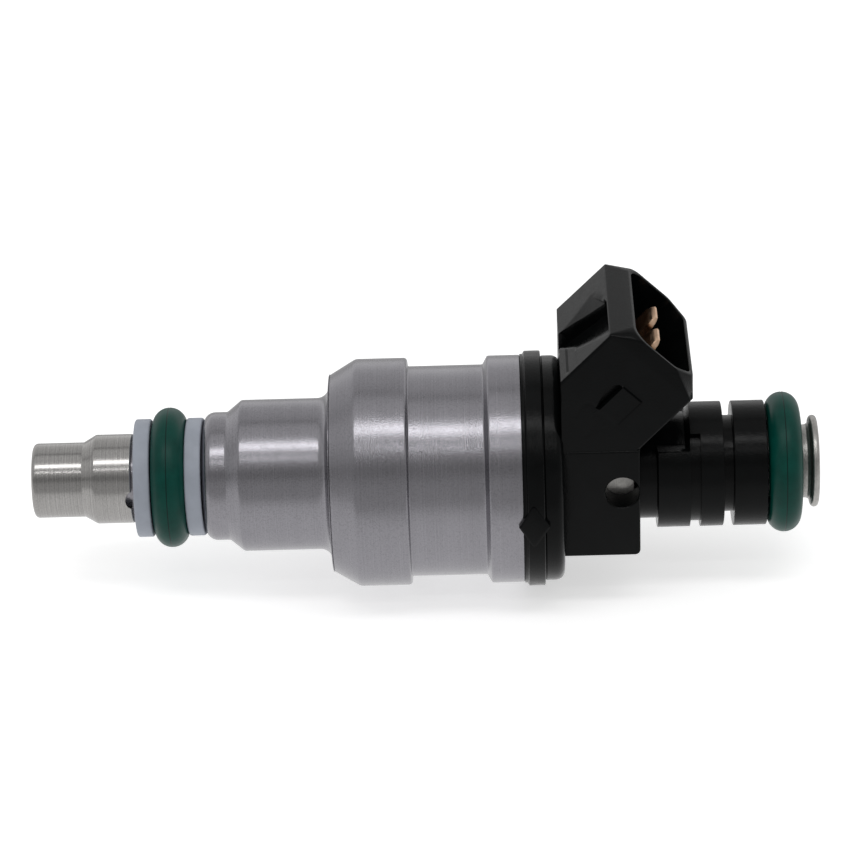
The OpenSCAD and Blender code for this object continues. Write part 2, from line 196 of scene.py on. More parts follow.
@dataclass
class Skin:
    """A closed surface on its way to a mesh: points in millimetres, and faces of any size.

    Attributes:
        points: Array of shape (N, 3).
        quads: Array of shape (M, 4) of point numbers.
        caps: Further faces, each a list of point numbers.
        marks: Values for each point, kept in the mesh as named attributes.
    """

    points: np.ndarray
    quads: np.ndarray
    caps: list = field(default_factory=list)
    marks: dict = field(default_factory=dict)

    def volume(self) -> float:
        """Signed volume: a sixth of the sum of the triple products of each triangle's corners."""
        sides = [self.quads[:, [0, 1, 2]], self.quads[:, [0, 2, 3]]]
        sides += [np.array([[c[0], a, b] for a, b in zip(c[1:-1], c[2:])]) for c in self.caps]
        tri = np.concatenate(sides)
        a, b, c = (self.points[tri[:, k]] for k in range(3))
        return float((a * np.cross(b, c)).sum() / 6)

    def mesh(self, name: str, sharp_deg: float = 38.0) -> bpy.types.Mesh:
        """Blender mesh of this skin, in metres, facing outwards and smooth apart from its sharp edges.

        Args:
            name: Name of the new mesh.
            sharp_deg: Edges that turn more than this stay sharp.

        Returns:
            The mesh.
        """
        flip = self.volume() < 0
        quads = self.quads[:, ::-1] if flip else self.quads
        caps = [list(c)[::-1] if flip else list(c) for c in self.caps]
        sizes = np.concatenate([np.full(len(quads), 4), [len(c) for c in caps]]).astype(np.int32)
        corners = np.concatenate([quads.ravel(), *[np.array(c) for c in caps]]).astype(np.int32)
        mesh = bpy.data.meshes.new(name)
        mesh.vertices.add(len(self.points))
        mesh.vertices.foreach_set("co", (self.points * MM).astype(np.float32).ravel())
        mesh.loops.add(len(corners))
        mesh.loops.foreach_set("vertex_index", corners)
        mesh.polygons.add(len(sizes))
        mesh.polygons.foreach_set("loop_start", (np.cumsum(sizes) - sizes).astype(np.int32))
        mesh.update(calc_edges=True)
        for key, values in self.marks.items():
            mesh.attributes.new(key, "FLOAT", "POINT").data.foreach_set("value", values.astype(np.float32))
        mesh.validate()
        smooth(mesh, sharp_deg)
        return mesh


def smooth(mesh: bpy.types.Mesh, sharp_deg: float) -> None:
    """Shades a mesh smooth, with its edges sharp where the surface turns more than the given angle."""
    mesh.polygons.foreach_set("use_smooth", np.ones(len(mesh.polygons), bool))
    mesh.set_sharp_from_angle(angle=math.radians(sharp_deg))


def grid_quads(rows: int, columns: int, wrap_rows: bool, wrap_columns: bool) -> np.ndarray:
    """Faces of a grid of points numbered row by row.

    Args:
        rows: Number of rows.
        columns: Number of points in a row.
        wrap_rows: Join the last row to the first.
        wrap_columns: Join each row's last point to its first.

    Returns:
        Array of shape (M, 4).
    """
    i = np.arange(rows if wrap_rows else rows - 1)[:, None]
    j = np.arange(columns if wrap_columns else columns - 1)[None, :]
    i2, j2 = (i + 1) % rows, (j + 1) % columns
    ring = [i * columns + j, i * columns + j2, i2 * columns + j2, i2 * columns + j]
    return np.stack(ring, -1).reshape(-1, 4)


def lathe(outline: np.ndarray, segments: int = 256,
          shape: Optional[Callable[[np.ndarray, np.ndarray, np.ndarray], tuple]] = None) -> Skin:
    """Turns a closed outline round the X axis, as a tube whose wall is the outline.

    A point at station x and radius r goes to (x, -r cos a, r sin a), so the angle a counts from the -Y side
    and is 90 degrees on top.

    Args:
        outline: Closed outline of [station, radius] points.
        segments: Steps round the axis.
        shape: Optional change to the surface: takes the grids x, r and a, and returns new x and r.

    Returns:
        The skin.
    """
    angle = np.linspace(0, 2 * np.pi, segments, endpoint=False)[None, :]
    x = np.repeat(outline[:, :1], segments, 1)
    r = np.repeat(outline[:, 1:2], segments, 1)
    a = np.repeat(angle, len(outline), 0)
    if shape is not None:
        x, r = shape(x, r, a)
    points = np.stack([x, -r * np.cos(a), r * np.sin(a)], -1).reshape(-1, 3)
    return Skin(points, grid_quads(len(outline), segments, True, True))


def loft(sections: np.ndarray, capped: bool = True) -> Skin:
    """Skin carried through closed sections.

    Args:
        sections: Array of shape (rows, points, 3).
        capped: Close both ends with one flat face each.

    Returns:
        The skin.
    """
    rows, columns = sections.shape[:2]
    caps = [list(range(columns))[::-1], list(range((rows - 1) * columns, rows * columns))] if capped else []
    return Skin(sections.reshape(-1, 3), grid_quads(rows, columns, False, True), caps)


def tilted(skin: Skin, station: float, about_z_deg: float, about_y_deg: float) -> Skin:
    """The same skin turned a little about its place on the axis, as a loose washer sits."""
    about_z = Matrix.Rotation(math.radians(about_z_deg), 3, "Z")
    turn = about_z @ Matrix.Rotation(math.radians(about_y_deg), 3, "Y")
    middle = np.array([station, 0.0, 0.0])
    skin.points = (skin.points - middle) @ np.array(turn).T + middle
    return skin


def coil(start: float, end: float, turns: float, mid_r: float, wire_r: float) -> Skin:
    """Round wire wound along X, closed at both ends, with its last turns lying closer together.

    The wire's centre is at angle 2 pi turns t and station start + (end - start) p(t), where p eases in and
    out so that the first and last turns close up. Each ring of the wire is a circle across that path.

    Args:
        start: Station of the wire's centre at its first end.
        end: Station at its last end.
        turns: Number of turns.
        mid_r: Radius of the wire's centre line.
        wire_r: Radius of the wire.

    Returns:
        The skin.
    """
    steps = int(40 * turns)
    t = np.linspace(0, 1, steps + 1)
    travel = 0.72 * t + 0.28 * blend01(t, 0.0, 1.0)
    turn = 2 * np.pi * turns * t
    centre = np.stack([start + (end - start) * travel, mid_r * np.cos(turn), mid_r * np.sin(turn)], -1)
    along = np.gradient(centre, axis=0)
    along /= np.linalg.norm(along, axis=1)[:, None]
    out = np.stack([np.zeros_like(t), np.cos(turn), np.sin(turn)], -1)
    across = np.cross(along, out)
    k = np.linspace(0, 2 * np.pi, 14, endpoint=False)[None, :, None]
    rings = centre[:, None] + wire_r * (np.cos(k) * out[:, None] + np.sin(k) * across[:, None])
    return loft(rings)


class Booleans:
    """Joins and cuts skins with Blender's exact solver, and gives back one plain mesh."""

    def __init__(self, name: str, first: Skin) -> None:
        """Starts from one skin.

        Args:
            name: Name of the finished mesh.
            first: The skin that the others are joined to or cut from.
        """
        self.name = name
        self.base = self._object(first)
        self.tools: list[bpy.types.Object] = []

    @staticmethod
    def _object(skin: Skin) -> bpy.types.Object:
        """Temporary object of a skin, in the scene so that the modifiers can use it."""
        tool = bpy.data.objects.new("tool", skin.mesh("tool"))
        bpy.context.scene.collection.objects.link(tool)
        return tool

    def _add(self, skin: Skin, operation: str) -> "Booleans":
        """Hangs one more exact Boolean modifier on the base."""
        tool = self._object(skin)
        modifier = self.base.modifiers.new(operation.lower(), "BOOLEAN")
        modifier.operation = operation
        modifier.solver = "EXACT"
        modifier.object = tool
        self.tools.append(tool)
        return self

    def join(self, skin: Skin) -> "Booleans":
        """Adds a skin's solid."""
        return self._add(skin, "UNION")

    def cut(self, skin: Skin) -> "Booleans":
        """Takes a skin's solid away."""
        return self._add(skin, "DIFFERENCE")

    def result(self, sharp_deg: float = 30.0) -> bpy.types.Mesh:
        """The finished mesh. Temporary objects are removed."""
        bpy.context.view_layer.update()
        graph = bpy.context.evaluated_depsgraph_get()
        mesh = bpy.data.meshes.new_from_object(self.base.evaluated_get(graph), depsgraph=graph)
        mesh.name = self.name
        for tool in [*self.tools, self.base]:
            old = tool.data
            bpy.data.objects.remove(tool)
            bpy.data.meshes.remove(old)
        mesh.materials.clear()
        smooth(mesh, sharp_deg)
        return mesh


# ---------------------------------------------------------------- finishes


class Sheet:
    """Node tree of one finish, with short calls for the nodes that the finishes share."""

    def __init__(self, name: str) -> None:
        """Makes an empty material with one surface shader.

        Args:
            name: Name of the material.
        """
        self.material = bpy.data.materials.new(name)
        self.material.use_nodes = True
        self.tree = self.material.node_tree
        self.tree.nodes.clear()
        self.shader = self.tree.nodes.new("ShaderNodeBsdfPrincipled")
        output = self.tree.nodes.new("ShaderNodeOutputMaterial")
        self.link(self.shader.outputs["BSDF"], output.inputs["Surface"])
        self.place = self.tree.nodes.new("ShaderNodeTexCoord").outputs["Object"]
        split = self.tree.nodes.new("ShaderNodeSeparateXYZ")
        self.link(self.place, split.inputs[0])
        self.x, self.y, self.z = split.outputs

    def link(self, source: Socket, target: Socket) -> None:
        """Joins an output to an input."""
        self.tree.links.new(source, target)

    def set(self, **values: float) -> None:
        """Sets uniform values on the shader's own sockets; underscores stand for spaces."""
        for key, value in values.items():
            self.shader.inputs[key.replace("_", " ")].default_value = value

    def math(self, kind: str, a: Value, b: Value = 0.0) -> Socket:
        """Output of a Math node; each argument is a number or another output."""
        node = self.tree.nodes.new("ShaderNodeMath")
        node.operation = kind
        for socket, value in zip(node.inputs, (a, b)):
            if isinstance(value, (int, float)):
                socket.default_value = value
            else:
                self.link(value, socket)
        return node.outputs[0]

    def grain(self, per_mm: float, detail: float = 2.0, rough: float = 0.5,
              stretch: tuple = (1.0, 1.0, 1.0)) -> Socket:
        """Noise in the piece's own space.

        Args:
            per_mm: Features for each millimetre.
            detail: Finer layers added.
            rough: Weight of the finer layers.
            stretch: Scale of the noise along X, Y and Z.

        Returns:
            Output from 0 to 1.
        """
        node = self.tree.nodes.new("ShaderNodeTexNoise")
        node.inputs["Scale"].default_value = per_mm / MM
        node.inputs["Detail"].default_value = detail
        node.inputs["Roughness"].default_value = rough
        mapping = self.tree.nodes.new("ShaderNodeMapping")
        mapping.inputs["Scale"].default_value = stretch
        self.link(self.place, mapping.inputs["Vector"])
        self.link(mapping.outputs[0], node.inputs["Vector"])
        return node.outputs["Fac"]

    def lines(self, along: Socket, per_mm: float, detail: float = 3.0) -> Socket:
        """Noise that only changes along one coordinate, as tool marks do."""
        node = self.tree.nodes.new("ShaderNodeTexNoise")
        node.noise_dimensions = "1D"
        node.inputs["Scale"].default_value = per_mm / MM
        node.inputs["Detail"].default_value = detail
        self.link(along, node.inputs["W"])
        return node.outputs["Fac"]

    def mark(self, name: str) -> Socket:
        """Value of a named attribute of the mesh."""
        node = self.tree.nodes.new("ShaderNodeAttribute")
        node.attribute_name = name
        return node.outputs["Fac"]

    def spread(self, source: Socket, low: float, high: float, to_low: float, to_high: float) -> Socket:
        """Maps a range onto another, and holds it there."""
        node = self.tree.nodes.new("ShaderNodeMapRange")
        for socket, value in zip(list(node.inputs)[1:5], (low, high, to_low, to_high)):
            socket.default_value = value
        self.link(source, node.inputs[0])
        return node.outputs[0]

    def tint(self, share: Socket, first: Sequence[float], second: Sequence[float]) -> Socket:
        """Colour between two, by a share from 0 to 1."""
        node = self.tree.nodes.new("ShaderNodeMix")
        node.data_type = "RGBA"
        node.inputs[6].default_value = (*first, 1.0)
        node.inputs[7].default_value = (*second, 1.0)
        self.link(share, node.inputs[0])
        return node.outputs[2]

    def over(self, share: Socket, first: Socket, second: Sequence[float]) -> Socket:
        """Lays a colour over another colour's output, by a share from 0 to 1."""
        node = self.tree.nodes.new("ShaderNodeMix")
        node.data_type = "RGBA"
        node.inputs[7].default_value = (*second, 1.0)
        self.link(first, node.inputs[6])
        self.link(share, node.inputs[0])
        return node.outputs[2]

    def bump(self, *layers: tuple) -> None:
        """Stacks bump layers on the shader.

        Args:
            layers: Pairs of (height output, depth in millimetres).
        """
        normal = None
        for height, depth in layers:
            node = self.tree.nodes.new("ShaderNodeBump")
            node.inputs["Strength"].default_value = 1.0
            node.inputs["Distance"].default_value = depth * MM
            self.link(height, node.inputs["Height"])
            if normal is not None:
                self.link(normal, node.inputs["Normal"])
            normal = node.outputs["Normal"]
        self.link(normal, self.shader.inputs["Normal"])

    def colour(self, source: Socket) -> None:
        """Joins a colour to the shader."""
        self.link(source, self.shader.inputs["Base Color"])

    def roughness(self, source: Socket) -> None:
        """Joins a roughness to the shader."""
        self.link(source, self.shader.inputs["Roughness"])


def shade(colour: Sequence[float], factor: float) -> tuple:
    """The same colour, brighter or darker."""
    return tuple(min(1.0, c * factor) for c in colour)


@dataclass(frozen=True)
class Metal:
    """Turned, ground or blasted metal.

    Attributes:
        name: Name of the material.
        tone: Colour of a clean face.
        rough: Lowest and highest roughness.
        line_mm: Tool marks for each millimetre along X.
        line_depth: Depth of the tool marks, in millimetres.
        line_share: How far the marks darken and lighten the face.
        bead_mm: Blasted pits for each millimetre.
        bead_depth: Depth of the pits, in millimetres.
        stain: How dark the larger stains are, from 0 to 1.
    """

    name: str
    tone: tuple
    rough: tuple
    line_mm: float = 9.0
    line_depth: float = 0.0012
    line_share: float = 0.12
    bead_mm: float = 7.0
    bead_depth: float = 0.002
    stain: float = 0.1

    def paint(self) -> bpy.types.Material:
        """Makes the material: marks round the axis, fine pits and cloudy stains."""
        s = Sheet(self.name)
        s.set(Metallic=1.0)
        lines = s.lines(s.x, self.line_mm)
        broad = s.lines(s.x, self.line_mm / 14, 1.0)
        bead = s.grain(self.bead_mm, 2.0, 0.6)
        cloud = s.grain(0.35, 4.0, 0.6)
        tone = s.tint(s.spread(lines, 0.3, 0.7, 0, 1), shade(self.tone, 1 - self.line_share),
                      shade(self.tone, 1 + self.line_share))
        tone = s.over(s.spread(broad, 0.35, 0.75, 0, 0.16), tone, shade(self.tone, 0.72))
        tone = s.over(s.spread(bead, 0.48, 0.66, 0, 0.34), tone, shade(self.tone, 0.55))
        tone = s.over(s.spread(cloud, 0.5, 0.8, 0, self.stain), tone, shade(self.tone, 0.55))
        s.colour(tone)
        mixed = s.math("ADD", s.math("MULTIPLY", lines, 0.5), s.math("MULTIPLY", cloud, 0.5))
        s.roughness(s.spread(mixed, 0.35, 0.65, *self.rough))
        s.bump((lines, self.line_depth), (bead, self.bead_depth))
        return s.material


@dataclass(frozen=True)
class Rubber:
    """Moulded rubber with a slightly oily sheen, a fine dusty grain and painted shade along its mould seam.
    """

    name: str
    tone: tuple
    rough: tuple = (0.3, 0.46)

    def paint(self) -> bpy.types.Material:
        """Makes the material."""
        s = Sheet(self.name)
        s.set(Specular_IOR_Level=0.18)
        cloud, fine = s.grain(0.5, 4.0, 0.6), s.grain(9.0, 3.0, 0.6)
        tone = s.tint(s.spread(cloud, 0.35, 0.7, 0, 1), shade(self.tone, 0.86), shade(self.tone, 1.18))
        tone = s.over(s.spread(fine, 0.7, 0.85, 0, 0.06), tone, (0.12, 0.2, 0.17))
        # Painted shade: the seam mark lays a near-black line over the tone, standing in for the shade in the
        # witness line's thin groove.
        s.colour(s.over(s.math("MULTIPLY", s.mark("seam"), 0.95), tone, (0.0, 0.004, 0.003)))
        s.roughness(s.spread(cloud, 0.35, 0.7, *self.rough))
        s.bump((cloud, 0.006), (fine, 0.0016))
        return s.material


@dataclass(frozen=True)
class Moulding:
    """Moulded plastic with spark-eroded grain and faint flow marks.

    Attributes:
        name: Name of the material.
        tone: Colour.
        rough: Lowest and highest roughness.
        pits_mm: Grain for each millimetre.
        pit_depth: Depth of the grain, in millimetres.
        fibre: How far pale glass fibres show, from 0 to 1.
        flow: Depth of the flow marks, in millimetres.
        gloss: Strength of the surface's reflection; 0.5 is 4 percent.
        cloudy: How far the tone drifts from place to place.
    """

    name: str
    tone: tuple
    rough: tuple
    pits_mm: float = 6.0
    pit_depth: float = 0.004
    fibre: float = 0.0
    flow: float = 0.01
    gloss: float = 0.5
    cloudy: float = 0.22

    def paint(self) -> bpy.types.Material:
        """Makes the material: cloudy tone, fine pits, streaks of fibre and a slow waviness."""
        s = Sheet(self.name)
        s.set(Specular_IOR_Level=self.gloss)
        cloud = s.grain(0.45, 4.0, 0.6)
        pits = s.grain(self.pits_mm, 3.0, 0.6)
        tone = s.tint(s.spread(cloud, 0.35, 0.7, 0, 1), shade(self.tone, 1 - self.cloudy),
                      shade(self.tone, 1 + self.cloudy))
        if self.fibre:
            streak = s.grain(2.2, 3.0, 0.7, (0.35, 1.6, 1.6))
            tone = s.over(s.spread(streak, 0.58, 0.75, 0, self.fibre), tone, shade(self.tone, 3.2))
        s.colour(tone)
        rub = s.grain(1.3, 5.0, 0.65)
        s.roughness(s.spread(rub, 0.35, 0.68, *self.rough))
        s.bump((cloud, self.flow), (pits, self.pit_depth))
        return s.material


@dataclass(frozen=True)
class Strip:
    """Rolled bronze strip, stained dull along its length and bright at its narrowed tip."""

    name: str
    tone: tuple
    tip: tuple

    def paint(self) -> bpy.types.Material:
        """Makes the material: rolling lines, patches of oxide, and a bright tip by its mark."""
        s = Sheet(self.name)
        s.set(Metallic=1.0)
        lines = s.lines(s.y, 11.0)
        cloud = s.grain(1.1, 4.0, 0.65)
        tone = s.tint(s.spread(lines, 0.3, 0.7, 0, 1), shade(self.tone, 0.55), shade(self.tone, 1.2))
        tone = s.over(s.spread(cloud, 0.45, 0.7, 0, 0.45), tone, shade(self.tone, 0.5))
        s.colour(s.over(s.mark("coined"), tone, self.tip))
        s.roughness(s.spread(cloud, 0.35, 0.7, 0.28, 0.5))
        s.bump((lines, 0.01), (s.grain(6.0), 0.006))
        return s.material


@dataclass(frozen=True)
class Woven:
    """Fine filter cloth: threads round the tube over threads along it."""

    name: str
    tone: tuple
    threads_mm: float = 5.0

    def paint(self) -> bpy.types.Material:
        """Makes the material. The weave is the product of two waves, one along X and one round the axis."""
        s = Sheet(self.name)
        angle = s.math("ARCTAN2", s.z, s.y)
        along = s.math("SINE", s.math("MULTIPLY", s.x, self.threads_mm * 2 * math.pi / MM))
        round_it = s.math("SINE", s.math("MULTIPLY", angle, 72.0))
        weave = s.math("ADD", s.math("MULTIPLY", s.math("MULTIPLY", along, round_it), 0.5), 0.5)
        s.colour(s.tint(weave, shade(self.tone, 0.35), self.tone))
        s.set(Roughness=0.8, Sheen_Weight=0.2)
        s.bump((weave, 0.03))
        return s.material


def finishes() -> dict:
    """One material for each slot of the record."""
    kit = {
        Slot.TIP: Metal("tip_stainless", (0.42, 0.41, 0.40), (0.15, 0.22), line_mm=7.0,
                        line_depth=0.0011, line_share=0.12, bead_depth=0.001, stain=0.12),
        Slot.HARD: Metal("hard_stainless", (0.55, 0.55, 0.55), (0.14, 0.24), line_mm=16.0),
        Slot.TURNED: Metal("turned_steel", (0.325, 0.317, 0.342), (0.20, 0.27), line_mm=8.0,
                           line_depth=0.0004, line_share=0.06, bead_mm=6.0, bead_depth=0.009),
        Slot.HOUSING: Metal("housing_steel", (0.325, 0.317, 0.342), (0.20, 0.28), line_mm=6.0,
                            line_depth=0.0003, line_share=0.05, bead_mm=6.0, bead_depth=0.011),
        Slot.INLET: Metal("inlet_stainless", (0.45, 0.44, 0.42), (0.26, 0.42), line_share=0.1,
                          bead_mm=3.2, bead_depth=0.02, stain=0.6),
        Slot.IRON: Metal("magnet_iron", (0.30, 0.30, 0.32), (0.3, 0.42), line_mm=10.0),
        Slot.SPRING: Metal("spring_steel", (0.36, 0.35, 0.34), (0.24, 0.34), line_mm=3.0, stain=0.3),
        Slot.GREEN: Rubber("green_rubber", (0.0004, 0.052, 0.039), (0.3, 0.42)),
        Slot.DARK_RUBBER: Rubber("black_rubber", (0.012, 0.012, 0.013)),
        Slot.WASHER: Moulding("washer_plastic", (0.38, 0.41, 0.47), (0.45, 0.6), pit_depth=0.002,
                              flow=0.002, gloss=0.4, cloudy=0.06),
        Slot.NYLON: Moulding("black_nylon", (0.0020, 0.0024, 0.0025), (0.13, 0.27), pits_mm=4.2,
                             pit_depth=0.018, fibre=0.1, flow=0.006, gloss=0.12),
        Slot.TERMINAL: Strip("terminal_bronze", (0.50, 0.27, 0.15), (0.85, 0.58, 0.40)),
        Slot.BOBBIN: Moulding("bobbin_plastic", (0.16, 0.10, 0.05), (0.4, 0.55), fibre=0.15),
        Slot.WIRE: Metal("enamelled_wire", (0.62, 0.24, 0.08), (0.15, 0.22), line_mm=3.0),
        Slot.FILTER: Moulding("filter_plastic", (0.55, 0.45, 0.30), (0.4, 0.55)),
        Slot.CLOTH: Woven("filter_cloth", (0.72, 0.68, 0.60)),
    }
    return {slot: finish.paint() for slot, finish in kit.items()}


class Workshop:
    """Hangs finished meshes on the frame and gives every node its finish."""

    def __init__(self) -> None:
        """Makes the finishes once."""
        self.paints = finishes()
        self.pieces: list[bpy.types.Object] = []

    def add(self, mesh: bpy.types.Mesh, slot: Slot, nodes: Iterable[str],
            body: str = BODY) -> bpy.types.Object:
        """Makes a piece from a mesh, dresses it and lets it stand for its CAD nodes.

        Args:
            mesh: Finished mesh, in its place and in metres.
            slot: Its finish.
            nodes: CAD nodes that it stands for.
            body: Body that it rides on.

        Returns:
            The piece.
        """
        piece = bpy.data.objects.new(mesh.name, mesh)
        bpy.context.scene.collection.objects.link(piece)
        mesh.materials.append(self.paints[slot])
        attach(piece, body)
        names = list(nodes)
        if names:
            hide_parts(*names)
        self.pieces.append(piece)
        LOG.info("piece %s: %d faces, %s", piece.name, len(mesh.polygons), slot.value)
        return piece

    def dress(self, node: str, slot: Slot) -> None:
        """Gives a carried-over CAD node its finish."""
        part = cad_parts[node]
        part.data.materials.clear()
        part.data.materials.append(self.paints[slot])
        LOG.info("node %s keeps its shape: %s", node, slot.value)


# ---------------------------------------------------------------- sub-assemblies


@dataclass
class Nozzle:
    """Spray tip, its cap and the nozzle ring between two plastic washers."""

    ring_mid_r: float = 5.585
    ring_section_r: float = 1.765
    flash: float = 0.035
    washer_r: float = 6.2
    washer_bore_r: float = 3.88
    washer_t: float = 1.7
    ring_segments: int = 224
    retainer_x: float = -2.75
    spacer_x: float = 2.69
    nose_r: float = 3.925
    pilot_r: float = 4.685
    cap_rear: float = -3.9
    notch_depth: float = 0.65
    notch_half_w: float = 1.0
    notch_deg: float = -1.0

    def ring(self, name: str, station: float) -> bpy.types.Mesh:
        """Sealing ring: a torus with the fine witness line of its mould round its outside and inside.

        The section's radius is the ring's own, less the line's depth times a narrow flat bell curve at both
        ends of the section's radial line.
        """
        fine = np.radians([-3.5, -2.2, -1.5, -0.8, 0.8, 1.5, 2.2, 3.5])
        half = np.concatenate([fine, np.linspace(0.1, np.pi - 0.1, 34)])
        v = np.concatenate([half, half + np.pi])
        seam = np.exp(-((np.sin(v) / math.sin(math.radians(1.4))) ** 4))
        radius = self.ring_section_r - seam * self.flash
        outline = np.stack([station + radius * np.sin(v), self.ring_mid_r + radius * np.cos(v)], -1)
        skin = lathe(outline, self.ring_segments)
        # The same seam curve is kept as the mask of the painted shade along the witness line.
        skin.marks["seam"] = np.repeat(seam, self.ring_segments)
        return skin.mesh(name, 70)

    def washer(self, name: str, station: float, lean: float) -> bpy.types.Mesh:
        """Loose moulded washer with soft edges, leaning a little on the stem."""
        half = self.washer_t / 2
        box = [[station - half, self.washer_bore_r], [station + half, self.washer_bore_r],
               [station + half, self.washer_r], [station - half, self.washer_r]]
        skin = lathe(thicken(fillet(box, [0.12, 0.12, 0.22, 0.22]), 0.5), 192)
        return tilted(skin, station, lean, lean / 2).mesh(name)

    def cap(self) -> bpy.types.Mesh:
        """Bright cap with a cone, a pilot shoulder and a D-shaped notch in its rear edge.

        Near the rear edge the station of every point is held below
        rear - depth * sqrt(1 - (distance round the cap / half width)^2), which cuts the notch.
        """
        corners = [[-14.15, 2.55], [-14.4, 2.8], [-14.4, self.nose_r], [-9.1, self.nose_r],
                   [-7.8, self.pilot_r], [self.cap_rear, self.pilot_r], [self.cap_rear, 3.8], [-7.02, 3.8],
                   [-7.02, 2.92], [-12.34, 2.92], [-12.34, 1.6]]
        radii = [0.05, 0.12, 0.5, 0.35, 0.5, 0.18, 0.05, 0.05, 0.05, 0.05, 0.03]
        outline = thicken(fillet(corners, radii, 6), 0.6)

        def notch(x: np.ndarray, r: np.ndarray, a: np.ndarray) -> tuple:
            """Holds the rear edge back inside the notch."""
            turn = (a - math.radians(self.notch_deg) + np.pi) % (2 * np.pi) - np.pi
            away = np.abs(turn) * self.pilot_r / self.notch_half_w
            edge = self.cap_rear - self.notch_depth * np.sqrt(np.clip(1 - away**2, 0, 1))
            return np.where(x > -5.5, np.minimum(x, np.where(away < 1, edge, 99.0)), x), r

        return lathe(outline, 320, notch).mesh("spray_tip_cap", 35)

    def build(self, shop: Workshop) -> None:
        """Builds the nozzle's outer pieces and dresses its inner ones."""
        shop.add(self.cap(), Slot.TIP, ["spray_tip_cap"])
        shop.add(self.ring("nozzle_o_ring", 0.0), Slot.GREEN, ["nozzle_o_ring"])
        for name, station, lean in (("nozzle_retainer_washer", self.retainer_x, 0.4),
                                    ("nozzle_spacer_washer", self.spacer_x, -0.7)):
            shop.add(self.washer(name, station, lean), Slot.WASHER, [name])
        for node in ("orifice_disc", "valve_seat", "needle_guide", "lift_stop_shim"):
            shop.dress(node, Slot.HARD)
        shop.dress("seat_seal_ring", Slot.DARK_RUBBER)


@dataclass
class SteelBody:
    """Turned valve body and the rolled housing round the coil."""

    collar_r: float = 6.73
    barrel_r: float = 7.95
    flare: float = 2.45
    housing_r: float = 11.93
    waist_r: float = 11.02
    segments: int = 320

    def valve_body(self) -> bpy.types.Mesh:
        """Stem, collar, barrel and flare in one turning, with the bore inside."""
        corners = [[3.58, 3.78], [3.58, self.collar_r], [6.1, self.collar_r], [7.6, self.barrel_r],
                   [16.75, self.barrel_r], [16.9, 10.41], [17.0, 10.34], [17.0, 9.0], [18.6, 9.0],
                   [18.6, 4.25], [13.6, 4.25], [13.6, 2.25], [-12.0, 2.25], [-12.0, 2.9], [-7.0, 2.9],
                   [-7.0, 3.78]]
        radii = [0.1, 1.4, 0.5, 0.6, self.flare, 0.05, 0.02, 0.1, 0.1, 0.1, 0.1, 0.1, 0.05, 0.1, 0.05, 0.1]
        return lathe(thicken(fillet(corners, radii, 10), 0.8), self.segments).mesh("valve_body", 35)

    def housing(self) -> bpy.types.Mesh:
        """Cone, shoulder, waist and rear band of the housing, with its wall inside."""
        corners = [[17.03, 9.02], [17.03, 10.34], [17.1, 10.4], [19.7, self.housing_r],
                   [25.1, self.housing_r], [25.14, self.waist_r], [33.0, self.waist_r],
                   [33.5, self.housing_r], [36.9, self.housing_r], [36.9, 10.1], [20.1, 10.1], [19.0, 9.02]]
        radii = [0.05, 0.02, 0.03, 1.0, 0.38, 0.2, 0.25, 0.3, 0.12, 0.05, 0.1, 0.1]
        return lathe(thicken(fillet(corners, radii, 8), 0.8), self.segments).mesh("solenoid_housing", 35)

    def build(self, shop: Workshop) -> None:
        """Builds both turnings."""
        shop.add(self.valve_body(), Slot.TURNED, ["valve_body"])
        shop.add(self.housing(), Slot.HOUSING, ["solenoid_housing"])


